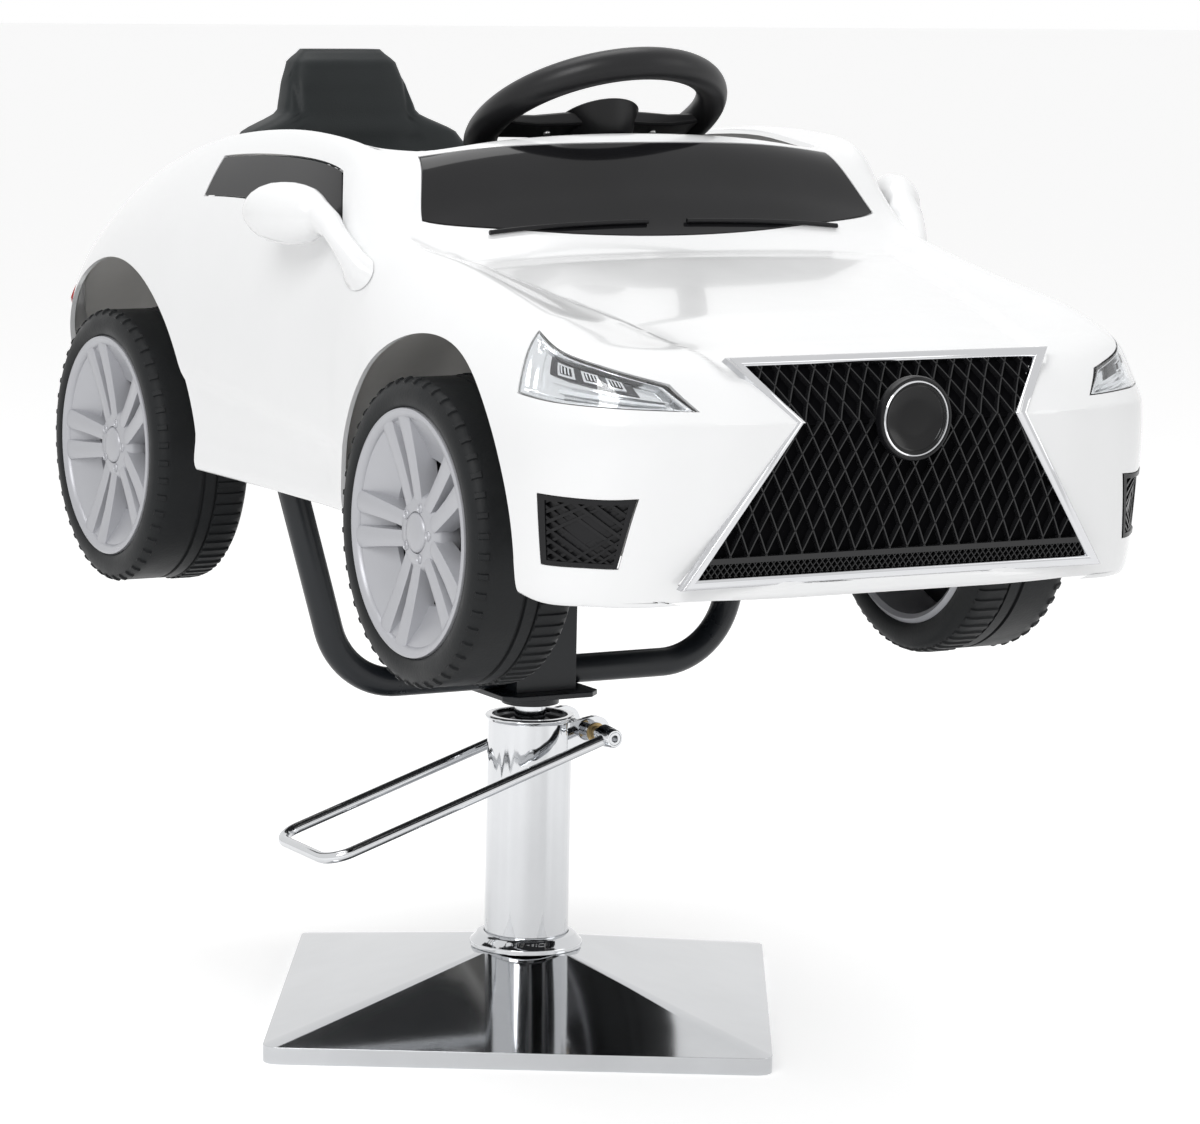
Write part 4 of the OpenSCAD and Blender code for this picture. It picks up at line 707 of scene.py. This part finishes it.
def body_shell():
    made = add_object("body_shell_piece", mesh_of("body_shell_piece", closed_skin(0, 200, 232)))
    cut_away(made, [closed_skin(body_wall, 100, 90)])
    cutters = []
    for y, z, r in (front_arch, rear_arch):
        cutters += [arch_cutter(y, z, r), mirrored(arch_cutter(y, z, r))]
    for shares, gap, inner in ((window, 2 * seam, pane_t + 3 * seam), (headlight, seam, 0.0127),
                               (fog, seam, 3 * body_wall)):
        q = corners_of(shares, gap)
        cutters += [side_sheet(q, -overrun, inner), mirrored(side_sheet(q, -overrun, inner))]
    cutters.append(sheet_on(lambda a, b, depth: screen_point(a, b, depth, 0.001), -overrun,
                            pane_t + seam, 48, 12))
    cut_away(made, cutters + list(grille_cutters()))
    cut_away(made, [cockpit_cutter()])
    dress(made, "body_white", "body_shell", 32)


body_shell()

# Panels that lie in the body's openings
piece("windscreen_panel", sheet_on(screen_point, 0, pane_t, 64, 16), "tint_panel", "windshield", edge=0.0006)
side_panels = (("window_panel_", window, "tint_panel", "side_window_", 0.0006),
               ("lamp_lens_", headlight, "lens", "headlight_lens_", 0.0005))
for side, turn_over in (("left", lambda shape: shape), ("right", mirrored)):
    for name, shares, finish, node, edge in side_panels:
        panel = turn_over(side_sheet(corners_of(shares), 0, pane_t))
        piece(name + side, panel, finish, node + side, edge=edge)
tail_lenses = both(side_sheet(corners_of(tail), -0.0032, -0.0012))
piece("tail_lamp_lenses", tail_lenses, "lamp_red", "tail_lamps", edge=0.0006)


# Headlamps: a silvered bowl under the lens, and in it three square lamps over a light bar

lamp_corners = corners_of(headlight, -seam)


def lamp_tray(a, b, depth):
    sunk = ease(0.03, 0.12, min(a, 1 - a)) * ease(0.015, 0.06, min(b, 1 - b))
    return on_side(lamp_corners, a, b, depth + 0.0082 * sunk)


def bowl_part(size, centre):
    """A block drawn flat over the lamp, with its height as depth, then laid on the surface"""
    shape = block((1, 1, 1), (0, 0, 0))
    bmesh.ops.subdivide_edges(shape, edges=shape.edges[:], cuts=4, use_grid_fill=True)
    bmesh.ops.scale(shape, vec=size, verts=shape.verts)
    bmesh.ops.translate(shape, vec=centre, verts=shape.verts)
    for vert in shape.verts:
        vert.co = on_side(lamp_corners, *vert.co)
    return both(shape)


lamp_bowls = both(sheet_on(lamp_tray, 0.0023, 0.0036, 56, 80))
piece("lamp_bowls", lamp_bowls, "lamp_silver", "headlight_housings", edge=0.0008)
lamp_rows = (0.3, 0.47, 0.64)
slat_rows = [b + d for b in lamp_rows for d in (-0.024, 0, 0.024)]
for name, finish, size, centres in (
        ("lamp_backs", "dark_steel", (0.4, 0.62, 0.0022), [(0.68, 0.47, 0.0088)]),
        ("lamp_frames", "lamp_silver", (0.28, 0.118, 0.0044), [(0.66, b, 0.0062) for b in lamp_rows]),
        ("lamp_squares", "trim", (0.18, 0.078, 0.002), [(0.66, b, 0.0042) for b in lamp_rows]),
        ("lamp_slats", "lamp_white", (0.16, 0.009, 0.0012), [(0.66, b, 0.0032) for b in slat_rows]),
        ("light_bars", "lamp_white", (0.075, 0.66, 0.0034), [(0.22, 0.56, 0.007)]),
        ("bowl_steps", "lamp_silver", (0.045, 0.78, 0.0052), [(0.36, 0.54, 0.0074)])):
    modules = joined([bowl_part(size, centre) for centre in centres])
    piece(name, modules, finish, "headlight_housings", extra=True)


# Grille: bars that cross in two slanting families over a dark back, in a plated band

def grille_bars(tall, low_w, high_w, first, pitch, slope, curve, width):
    """Bars over one face of the grille, from a first height up, cut off at the face's slanting sides"""
    back, front = -0.0047, -0.0004
    section = ((-width / 2, back), (-width / 5, front), (width / 5, front), (width / 2, back))
    reach = max(low_w, high_w) + slope * tall + pitch
    count = int(2 * reach / pitch)
    rows = 8
    bars = bmesh.new()
    for way in (-1, 1):
        for k in range(-count, count + 1):
            verts = []
            for n in range(rows + 1):
                u = first + (tall - first) * n / rows
                x = k * pitch / 2 + way * (slope * u + curve * u * u / tall)
                verts.append([bars.verts.new((x + dx, u, h)) for dx, h in section])
            for one, other in zip(verts, verts[1:]):
                for a in range(3):
                    bars.faces.new((one[a], one[a + 1], other[a + 1], other[a]))
                bars.faces.new((one[3], one[0], other[0], other[3]))
            bars.faces.new(verts[0][::-1])
            bars.faces.new(verts[-1])
    for sign in (-1, 1):
        trimmed(bars, (sign * low_w, 0, 0), (sign, -(high_w - low_w) / tall, 0))
    return bars


def grille_plate(outline, back, thick, place):
    return placed(prism(outline, lambda x, u, far: Vector((x, u, back + far * thick))), place)


strip_w = grille_low_w - 0.001
parts = [placed(grille_bars(tall, low_w, high_w, first, pitch=0.032, slope=0.42, curve=0.1, width=0.003),
                place)
         for first, (tall, low_w, high_w, place) in zip((0.017, 0.0), grille_faces)]
strip = grille_bars(0.013, strip_w, strip_w - 0.008, 0.002, pitch=0.011, slope=0.8, curve=0.0, width=0.0022)
cross_bar = grille_plate(trapezium(0.0125, 0.172, 0.017, 0.169), -0.004, 0.0042, low_place)
parts += [placed(strip, low_place), cross_bar]
piece("grille_bars", joined(parts), "grille_black", "grille_mesh", sharp=25)
# The plate behind the bars takes the painted-shade black, which is darker and duller than the grille
# moulding.
backs = [grille_plate(trapezium(0, low_w, tall, high_w), -grille_t - 0.0006, 0.001, place)
         for tall, low_w, high_w, place in grille_faces]
piece("grille_back", joined(backs), "grille_back_painted_shade", "grille_mesh", extra=True)


def grille_trim():
    """A plated band with a rounded face, mitred round the six corners of the grille"""
    points = ((low_place, -grille_low_w, 0), (low_place, grille_low_w, 0), (top_place, grille_waist_w, 0),
              (top_place, grille_top_w, top_tall), (top_place, -grille_top_w, top_tall),
              (low_place, -grille_waist_w, low_tall))
    corners = [place @ Vector((x, u, 0)) for place, x, u in points]
    fronts = [place.to_3x3() @ Vector((0, 0, 1)) for place, x, u in points]
    section = ((-0.0014, -0.005), (-0.0014, 0.0004), (-0.0006, 0.0016), (0.0012, 0.0025), (0.0034, 0.0028),
               (0.0054, 0.0022), (0.0064, 0.0008), (0.0066, -0.005))
    rings = []
    for k, corner in enumerate(corners):
        before, after = fronts[k - 1], fronts[k]
        one = (corner - corners[k - 1]).normalized().cross(before)
        other = (corners[(k + 1) % 6] - corner).normalized().cross(after)
        out = (one + other) / (1 + one.dot(other))
        front = (before + after).normalized()
        rings.append([corner + out * u + front * w for u, w in section])
    return loft(rings, endless=True)


piece("grille_trim", grille_trim(), "bright_chrome", "grille_frame", sharp=40)

# Badge: a bare disc with a stepped rim, a dark bezel and a thin bright ring
badge_place = grille_waist @ Matrix.Translation((0, -0.0003, 0)) @ Matrix.Rotation(pi / 2, 4, "X")
badge_disc = [(0.0, 0.0), (0.0305, 0.0), (0.0305, 0.0052), (0.0288, 0.0052), (0.0278, 0.0042),
              (0.0262, 0.004), (0.025, 0.0046), (0.0238, 0.004), (0.012, 0.0046), (0.0, 0.0048)]
badge_bezel = [(0.0303, 0.0), (0.033, 0.0), (0.033, 0.005), (0.0322, 0.0066), (0.0309, 0.007),
               (0.0296, 0.0064), (0.0292, 0.005), (0.0303, 0.0)]
badge_ring = [(0.0276, 0.003), (0.0296, 0.003), (0.0296, 0.0066), (0.029, 0.0072), (0.0282, 0.007),
              (0.0276, 0.0056), (0.0276, 0.003)]
for name, profile, finish, sharp in (("badge_disc", badge_disc, "gloss_black", 50),
                                     ("badge_bezel", badge_bezel, "trim", 34),
                                     ("badge_ring", badge_ring, "bright_chrome", 34)):
    shape = placed(turned(profile), badge_place)
    piece(name, shape, finish, "emblem_disc", sharp=sharp, extra=name != "badge_disc")


def front_lip():
    """The white lip under the grille follows the body's low front edge"""
    section = ((-0.005, 0.159), (-0.0008, 0.159), (0.0008, 0.1602), (0.0014, 0.164), (0.001, 0.169),
               (-0.001, 0.1712), (-0.005, 0.1712))
    side = [body_point(n / 3, 0.02) for n in range(13, -1, -1)]
    front_y = side[-1][1]
    path = [Vector((p[0], p[1], 0)) for p in side] + [Vector((0.05, front_y, 0)), Vector((0, front_y, 0))]
    path += [Vector((-p[0], p[1], 0)) for p in path[-2::-1]]
    rings = []
    for k, p in enumerate(path):
        way = (path[min(k + 1, len(path) - 1)] - path[max(k - 1, 0)]).normalized()
        out = way.cross(Vector((0, 0, 1)))
        out = out if out[1] < 0 else -out
        rings.append([p + out * u + Vector((0, 0, car_level + z)) for u, z in section])
    return loft(rings)


piece("front_lip", front_lip(), "body_white", "body_shell", sharp=50, extra=True)


# Fog-lamp grilles: a frame with a lattice, drawn on a unit square and laid on the surface

def fog_grille():
    rim = bmesh.new()
    bmesh.ops.create_grid(rim, x_segments=14, y_segments=14, size=0.5)
    inside = [f for f in rim.faces if max(abs(c) for c in f.calc_center_median()) < 0.43]
    bmesh.ops.delete(rim, geom=inside, context="FACES")
    thickened(rim, (0, 0, 0.0035))
    bmesh.ops.translate(rim, vec=(0.5, 0.5, -0.0006), verts=rim.verts)
    parts = [rim]
    for way in (-1, 1):
        for k in range(-9, 10):
            bar = block((0.04, 1.7, 0.003), (0, 0, 0.002))
            turn = Matrix.Rotation(way * radians(38), 3, "Z")
            bmesh.ops.rotate(bar, cent=(0, 0, 0), matrix=turn, verts=bar.verts)
            bmesh.ops.translate(bar, vec=(0.5, 0.5 + k * 0.19, 0), verts=bar.verts)
            for point, normal in (((0.06, 0.5, 0), (-1, 0, 0)), ((0.94, 0.5, 0), (1, 0, 0)),
                                  ((0.5, 0.06, 0), (0, -1, 0)), ((0.5, 0.94, 0), (0, 1, 0))):
                trimmed(bar, point, normal)
            if bar.faces:
                parts.append(bar)
            else:
                bar.free()
    back = block((0.94, 0.94, 0.0008), (0.5, 0.5, 0.0046))
    bmesh.ops.subdivide_edges(back, edges=back.edges[:], cuts=6, use_grid_fill=True)
    whole = joined(parts + [back])
    q = corners_of(fog)
    for vert in whole.verts:
        vert.co = on_side(q, *vert.co)
    return whole


pair("fog_bars", fog_grille, "trim", "fog_grille", sharp=30)


# Wheels: everything is drawn with the axle along z, from the outer face inwards, then put on its hub

wheel_out, axle_y, hub_level = 0.285, 0.3095, 0.491
rim_r, tyre_r = 0.101, 0.125
tread_steps = 144
wheel_places = {}
for side, x in (("left", 1), ("right", -1)):
    for end, y in (("front", -1), ("rear", 1)):
        hub_centre = Matrix.Translation((x * wheel_out, y * axle_y, hub_level))
        wheel_places[end + "_" + side] = hub_centre @ Matrix.Rotation(-x * pi / 2, 4, "Y")


def tyre():
    """A tyre with two grooves round its tread and notches along both shoulders"""
    outer_wall = [(rim_r + 0.0003, 0.0035), (rim_r + 0.003, 0.0012), (rim_r + 0.009, 0.0006)]
    tread = [(-0.0095, 0.0012), (-0.005, 0.0036), (-0.002, 0.007), (-0.0004, 0.0115), (0, 0.017),
             (0, 0.0445), (-0.0022, 0.0452), (-0.0022, 0.0478), (0, 0.0485), (0, 0.058), (-0.0018, 0.0585),
             (-0.0018, 0.06), (0, 0.0605), (0, 0.078), (-0.0004, 0.0835), (-0.002, 0.088), (-0.005, 0.0914),
             (-0.0095, 0.0938)]
    inner_wall = [(rim_r + 0.009, 0.0944), (rim_r + 0.003, 0.0938), (rim_r + 0.0003, 0.0915)]
    profile = outer_wall + [(tyre_r + r, z) for r, z in tread] + inner_wall + outer_wall[:1]
    shape = turned(profile, steps=tread_steps)
    notches = []
    for face in shape.faces:
        c = face.calc_center_median()
        k = int(round((atan2(c[1], c[0]) / (2 * pi) * tread_steps - 0.5)) % tread_steps)
        r = hypot(c[0], c[1])
        outer = 0.0036 < c[2] < 0.0115 and r > tyre_r - 0.006
        inner = 0.0605 < c[2] < 0.088 and r > tyre_r - 0.003
        if (outer and k % 3 == 0) or (inner and k % 2 == 0):
            notches.append(face)
    bmesh.ops.inset_region(shape, faces=notches, thickness=0.0007, depth=-0.0016, use_even_offset=True)
    return shape


def wheel_web():
    """The dark web that shows between the spokes"""
    edge = rim_r - 0.0085
    return turned([(0.012, 0.046), (edge, 0.04), (edge, 0.0425), (0.012, 0.049), (0.012, 0.046)])


def spoke(side):
    """One of a pair of spokes, which part from each other towards the rim"""
    rings = []
    for r, half, top, low in ((0.024, 0.0058, 0.0104, 0.026), (0.04, 0.0062, 0.0094, 0.027),
                              (0.062, 0.0068, 0.0072, 0.026), (0.08, 0.0076, 0.0046, 0.021),
                              (0.0945, 0.0086, 0.0022, 0.014)):
        shift = side * (0.0078 + (r - 0.024) * 0.105)
        corner = half * 0.22
        rings.append([(r, shift + y, z) for y, z in (
            (-half * 1.35, low), (-half * 1.1, top + corner), (-half * 0.72, top + corner * 0.25),
            (0, top), (half * 0.72, top + corner * 0.25), (half * 1.1, top + corner), (half * 1.35, low))])
    return loft(rings)


def rim():
    """A barrel, a dished ring and a hub with five bolts, joined by five pairs of spokes"""
    lip = rim_r - 0.006
    barrel = [(rim_r + r, z) for r, z in (
        (-0.009, 0.006), (-0.0065, 0.0016), (-0.003, 0.0002), (-0.0006, 0.0012), (0, 0.0035), (0, 0.0915),
        (-0.004, 0.0945), (-0.008, 0.0915), (-0.008, 0.03), (-0.009, 0.006))]
    dish = [(lip, 0.0042), (0.074, 0.017), (0.06, 0.0225), (0.0588, 0.0262), (0.062, 0.0285), (lip, 0.025),
            (lip, 0.0042)]
    hub = [(0.0, 0.0125), (0.0165, 0.0125), (0.0172, 0.01), (0.025, 0.0098), (0.03, 0.0125), (0.033, 0.017),
           (0.033, 0.033), (0.0165, 0.036), (0.012, 0.094), (0.0, 0.094)]
    bolt = [(0.0, 0.0128), (0.0022, 0.0128), (0.0028, 0.0096), (0.0036, 0.0088), (0.0042, 0.0096),
            (0.0042, 0.012)]
    bolt_circle = Matrix.Translation((0.0215, 0, 0))
    parts = [turned(barrel, steps=144), turned(dish, steps=120), turned(hub, steps=80)]
    for k in range(5):
        for side in (-1, 1):
            parts.append(placed(spoke(side), Matrix.Rotation(radians(k * 72 + 18), 4, "Z")))
        bolt_turn = Matrix.Rotation(radians(k * 72 + 54), 4, "Z")
        parts.append(placed(turned(bolt, steps=20), bolt_turn @ bolt_circle))
    return joined(parts)


cap_profile = [(0.0, 0.007), (0.01, 0.0071), (0.0145, 0.008), (0.0163, 0.0098), (0.0165, 0.013), (0.0, 0.013)]
for where, place in wheel_places.items():
    piece("tyre_skin_" + where, placed(tyre(), place), "tyre", "tyre_" + where, sharp=42)
    piece("wheel_web_" + where, placed(wheel_web(), place), "trim", "tyre_" + where, extra=True)
    piece("rim_face_" + where, placed(rim(), place), "rim", "rim_" + where, sharp=40)
    piece("hub_cap_" + where, placed(turned(cap_profile, steps=64), place), "rim", "cap_" + where, sharp=50)


# Mirrors: one shell from the foot through the stalk into the head

def mirror_shell():
    centre = Vector((0.299, -0.112, 0.424))
    sweep = radians(20)
    axis = Vector((sin(sweep), cos(sweep), 0))
    long, high, thick = 0.092, 0.052, 0.044
    foot_y, foot_z, stalk = -0.188, 0.38, 0.0145
    angles = [radians(a) for a in range(0, 360, 12)]

    def on_door(y, z):
        return Vector((side_x(y, z) + 0.001, y, z))

    def ring(p, w, h, turn_by, lean_by):
        across = Vector((sin(turn_by), -cos(turn_by), 0))
        up = Vector((-lean_by, 0, 1))
        return [p + cos(a) * w * across + sin(a) * h * up for a in angles]

    foot = on_door(foot_y, foot_z)
    neck = centre - axis * long / 2
    rings = [[on_door(foot_y - cos(a) * stalk * 1.5, foot_z + sin(a) * stalk) for a in angles]]
    for t in (0.15, 0.33, 0.5, 0.67, 0.84):
        rings.append(ring(foot + (neck - foot) * t, stalk * (3 - t) / 2, stalk * (4 - t) / 4,
                          (pi / 2 - sweep) * t, (1 - t) / 2))
    for share, size in ((0.07, 0.56), (0.12, 0.7), (0.2, 0.86), (0.3, 0.95), (0.42, 1), (0.55, 0.99),
                        (0.68, 0.94), (0.79, 0.83), (0.88, 0.68), (0.95, 0.5), (0.985, 0.36)):
        rings.append(ring(centre + (share - 0.5) * long * axis, size * thick / 2, size * high / 2,
                          pi / 2 - sweep, 0))
    return placed(loft(rings), Matrix.Translation((0, 0, car_level)))


pair("mirror_shell", mirror_shell, "body_white", "mirror", sharp=60)


# Wipers lie along the foot of the glass

def wipers():
    long, rise = 0.15, 0.0026
    i = station_at(along(0.352))
    arms = []
    for x0 in (-long * 9 / 8, long / 8):
        rings = []
        for k in range(25):
            x = x0 + long * k / 24
            p = skin(i, share_at_width(i, abs(x)) if abs(x) > 1e-4 else 1, -rise)
            rings.append([(x, p[1] + cos(a) * 0.0017, p[2] + sin(a) * 0.002) for a in
                          [radians(45 * n) for n in range(8)]])
        arms.append(loft(rings))
    return joined(arms)


piece("wiper_arms", wipers(), "trim", "wipers", sharp=50)


# Seat: the cushion and the back are firm mouldings with soft corners

seat_level = car_level + 0.296


def squarish(a):
    c, s = cos(a), sin(a)
    return (abs(c) ** 0.5 * (1 if c > 0 else -1), abs(s) ** 0.5 * (1 if s > 0 else -1))


def table_row(table, t):
    """A row between two rows of a table, at a value of its first column"""
    for one, other in zip(table, table[1:]):
        if t <= other[0]:
            f = (t - one[0]) / (other[0] - one[0])
            f = f * f * (3 - 2 * f) * 0.35 + f * 0.65
            return [p + (q - p) * f for p, q in zip(one[1:], other[1:])]
    return list(table[-1][1:])


def seat_cushion():
    """Table: share of the length, width, height"""
    table = [(0, 0.78, 0.28), (0.04, 0.9, 0.7), (0.14, 0.97, 0.96), (0.4, 1, 0.86), (0.7, 1, 0.86),
             (0.86, 1, 1), (0.98, 0.98, 1), (1, 0.93, 0.88)]
    half_w, thick, front, long = 0.1357, 0.07, 0.04, 0.34
    rings = []
    for n in range(41):
        t = n / 40
        w, h = table_row(table, t)
        ring = []
        for k in range(72):
            x, z = squarish(2 * pi * k / 72)
            sag = (1 - h) * (1 - abs(x)) if z > 0 else 0
            groove = 0.0022 * max(0, 1 - abs(abs(x) - 0.62) / 0.035) * (z > 0.5) * ease(0.1, 0.16, t)
            ring.append((x * w * half_w, front + t * long,
                         seat_level - thick / 2 + z * thick / 2 * (1 - sag) - groove))
        rings.append(ring)
    return loft(rings)


def seat_back():
    """Table: share of the height, width, thickness, lean"""
    table = [(0, 0.86, 0.9, 0), (0.05, 0.95, 1, 0), (0.3, 1, 1, 0.12), (0.55, 0.94, 0.95, 0.28),
             (0.68, 0.76, 0.85, 0.38), (0.76, 0.48, 0.8, 0.46), (0.86, 0.43, 0.85, 0.58),
             (0.95, 0.37, 0.8, 0.68), (1, 0.28, 0.4, 0.72)]
    half_w, thick, place, lean_by, tall = 0.146, 0.052, 0.336, 0.062, 0.245
    rings = []
    for n in range(61):
        t = n / 60
        w, d, lean = table_row(table, t)
        ring = []
        for k in range(72):
            x, y = squarish(-2 * pi * k / 72)
            out = abs(x * w)
            front = y < -0.3
            groove = 0.003 * max(0, 1 - abs(out - 0.4) / 0.03) * front * (1 - ease(0.9, 0.95, t))
            wing = 0.006 * ease(0.46, 0.75, out) * (y < 0) * ease(0.05, 0.15, t)
            panel = 0.004 * (1 - (x * w / 0.4) ** 2) * (out < 0.4) * front
            hollow = panel * ease(0.04, 0.2, t) * (1 - ease(0.6, 0.72, t))
            depth = place + thick / 2 + lean * lean_by + y * d * thick / 2 + groove + hollow - wing * 0.5
            ring.append((x * w * half_w, depth, seat_level + 0.0003 + t * tall))
        rings.append(ring)
    return loft(rings)


piece("seat_cushion", seat_cushion(), "seat", "seat_base", sharp=50)
piece("seat_back_shell", seat_back(), "seat", "seat_back", sharp=50)


# Steering wheel: a thick rim that flattens towards the driver, three spokes, a hub and three screws

wheel_place = Matrix.Translation((0, -0.1, 0.81)) @ Matrix.Rotation(radians(-30), 4, "X")


def steering_rim():
    turns, sides = 120, 28

    def swell(a, at):
        return 0.1 * max(0, 1 - abs(((a - radians(at)) + pi) % (2 * pi) - pi) / 0.6)

    rings = []
    for n in range(turns):
        a = 2 * pi * n / turns
        r = 0.1025 - 0.011 * max(0.0, sin(a)) ** 6
        grip = 1 + swell(a, 150) + swell(a, 30)
        ring = []
        for k in range(sides):
            b = 2 * pi * k / sides
            out = cos(b) * 0.0136 * grip
            up = sin(b) * 0.0134 * (1 + 0.04 * grip)
            ring.append(((r + out) * cos(a), (r + out) * sin(a), up))
        rings.append(ring)
    return loft(rings, endless=True)


def steering_spokes():
    e = 0.0022
    parts = []
    for a in (0, 90, 180):
        rings = []
        for r, half, top, low in ((0.02, 0.019, -0.001, -0.014), (0.04, 0.0165, -0.0008, -0.014),
                                  (0.066, 0.0125, -0.001, -0.0125), (0.088, 0.0145, -0.0015, -0.011),
                                  (0.0975, 0.018, -0.0025, -0.009)):
            rings.append([(r, y, z) for y, z in (
                (-half, low + e), (-half, top - e), (-half + e, top), (half - e, top),
                (half, top - e), (half, low + e), (half - e, low), (-half + e, low))])
        parts.append(placed(loft(rings), Matrix.Rotation(radians(a), 4, "Z")))
    hub = [(0.0233, 0.0), (0.0233, -0.007), (0.0, -0.007), (0.0, -0.026), (0.0235, -0.026), (0.0255, -0.024),
           (0.0365, -0.002), (0.038, 0.0), (0.036, 0.0016), (0.0245, 0.0016), (0.0233, 0.0)]
    return joined(parts + [turned(hub, steps=80)])


screw = [(0.0, -0.015), (0.003, -0.015), (0.0034, -0.0143), (0.0034, -0.013)]
screws = joined([placed(turned(screw, steps=20), Matrix.Translation((x, y, 0)))
                 for x, y in ((0.052, 0), (-0.052, 0), (0, 0.052))])
piece("steering_rim", placed(steering_rim(), wheel_place), "grip", "steering_wheel", sharp=60)
piece("steering_spokes", placed(steering_spokes(), wheel_place), "grip", "steering_wheel", edge=0.0008,
      extra=True)
piece("steering_screws", placed(screws, wheel_place), "steel", "steering_wheel", extra=True)


# Bent tube of the frame: two legs that rise to the car's floor, and a level run between them

def frame_tube():
    rise = radians(74)
    bend, half_run, drop, radius, spare = 0.07, 0.135, 0.181, 0.013, 0.006
    fall = drop - bend * (1 - cos(rise))
    foot_x = half_run + bend * sin(rise) + fall / (sin(rise) / cos(rise))
    leg = fall / sin(rise) + spare
    ahead = Vector((cos(rise), 0, -sin(rise)))
    start = Vector((-foot_x, 0, car_level + drop)) - ahead * spare
    shape = bow(start, ahead, (0, -1, 0), (leg, 2 * half_run, leg), bend, rise, radius, 40)
    return trimmed(shape, (0, 0, car_level + drop), (0, 0, 1))


piece("bent_frame_tube", frame_tube(), "frame_black", "frame_tube", sharp=50)


# Pedal: a bent rod whose ends sit in two tapered hubs on the shaft

def pedal_loop():
    half_w, rod = 0.056, 0.2605
    hub = [(0.006, -0.01), (0.0092, -0.01), (0.01, -0.0092), (0.0082, 0.0092), (0.0074, 0.01),
           (0.006, 0.01), (0.006, -0.01)]
    parts = [bow((-0.0075, half_w, 0), (-1, 0, 0), (0, 0, 1), (rod, 0.068, rod), 0.022, pi / 2, 0.005, 32)]
    for side in (-1, 1):
        place = Matrix.Translation((0, side * half_w, 0)) @ Matrix.Rotation(-side * pi / 2, 4, "X")
        parts.append(placed(turned(hub, steps=48), place))
    return joined(parts)


pedal_place = Matrix.Translation((0.051, 0, 0.256)) @ Matrix.Rotation(radians(-18), 4, "Y")
piece("pedal_bow", placed(pedal_loop(), pedal_place), "chrome", "pedal_loop", sharp=40)

# Pieces that keep the CAD node's form, softened: finish, edge width and, where it isn't 34, the sharp angle
for row in (
        ("base_plate", "floor_steel", 0.0006), ("base_cover", "polish", 0.0016, 12),
        ("pump_bolts", "steel", 0.0005), ("pump_cylinder", "chrome", 0.0006),
        ("pump_head", "dark_steel", 0.0005), ("collar_ring", "chrome", 0.0008),
        ("lever_bracket", "chrome", 0.0008), ("lever_bushes", "brass", 0.0004),
        ("piston_rod", "chrome", 0.0008), ("pedal_shaft", "chrome", 0.0006),
        ("mount_plate", "frame_black", 0.001), ("frame_post", "frame_black", 0.0016),
        ("frame_feet", "frame_black", 0.0008), ("frame_bolts", "steel", 0.0004),
        ("chassis_tub", "tub", 0.001), ("wheel_wells", "well", 0.0008, 30), ("dashboard", "dash", 0.0022, 30),
        ("front_axle_beam", "dark_steel", 0.0008), ("rear_axle", "steel", 0.0006),
        ("axle_brackets", "dark_steel", 0.0008), ("column_bush", "nylon", 0.0006),
        ("steering_column", "steel", 0.0005), ("horn_button", "grip", 0.0014), ("tie_rod", "steel", 0.0006),
        ("knuckle_left", "dark_steel", 0.0006), ("knuckle_right", "dark_steel", 0.0006)):
    refined(*row)


# Studio: a pale floor and a pale world that both look lighter than they light, and three soft lamps

def seen_directly(tree):
    """1 for rays from the camera, from metal and through glass"""
    rays = add_node(tree, "LightPath").outputs
    feeds = {0: rays["Is Camera Ray"], 1: rays["Is Glossy Ray"]}
    either = add_node(tree, "Math", {}, feeds, operation="MAXIMUM")
    feeds = {0: either.outputs[0], 1: rays["Is Transmission Ray"]}
    return add_node(tree, "Math", {}, feeds, operation="MAXIMUM").outputs[0]


floor_shape = bmesh.new()
bmesh.ops.create_grid(floor_shape, x_segments=2, y_segments=2, size=30)
studio_floor = add_object("studio_floor", mesh_of("studio_floor", floor_shape))
floor_finish, floor_tree, floor_shader = new_material("pale floor")
floor_glow = add_node(floor_tree, "Math", {1: 0.42}, {0: seen_directly(floor_tree)}, operation="MULTIPLY")
floor_values = {"Base Color": (0.9, 0.9, 0.9, 1), "Roughness": 0.8, "Specular IOR Level": 0.05,
                "Emission Color": (1, 1, 1, 1)}
set_inputs(floor_tree, floor_shader, floor_values, {"Emission Strength": floor_glow.outputs[0]})
studio_floor.data.materials.append(floor_finish)

world = bpy.data.worlds.new("studio")
bpy.context.scene.world = world
world.use_nodes = True
sky = world.node_tree
sky_level = add_node(sky, "MapRange", {"To Min": 0.56, "To Max": 1.0}, {"Value": seen_directly(sky)})
set_inputs(sky, sky.nodes["Background"], {"Color": (1, 1, 1, 1)}, {"Strength": sky_level.outputs["Result"]})

for name, place, size, watts in (("key", (-2.6, -2.4, 2.8), (1.8, 1.8), 66),
                                 ("fill", (2.8, -2.6, 1.6), (1.6, 2.2), 15),
                                 ("top", (0.0, 0.6, 3.4), (2.4, 1.6), 33)):
    lamp = bpy.data.lights.new(name, "AREA")
    lamp.shape = "RECTANGLE"
    lamp.size, lamp.size_y = size
    lamp.energy = watts
    add_object(name, lamp).matrix_world = looking(place, (0, 0, 0.5))
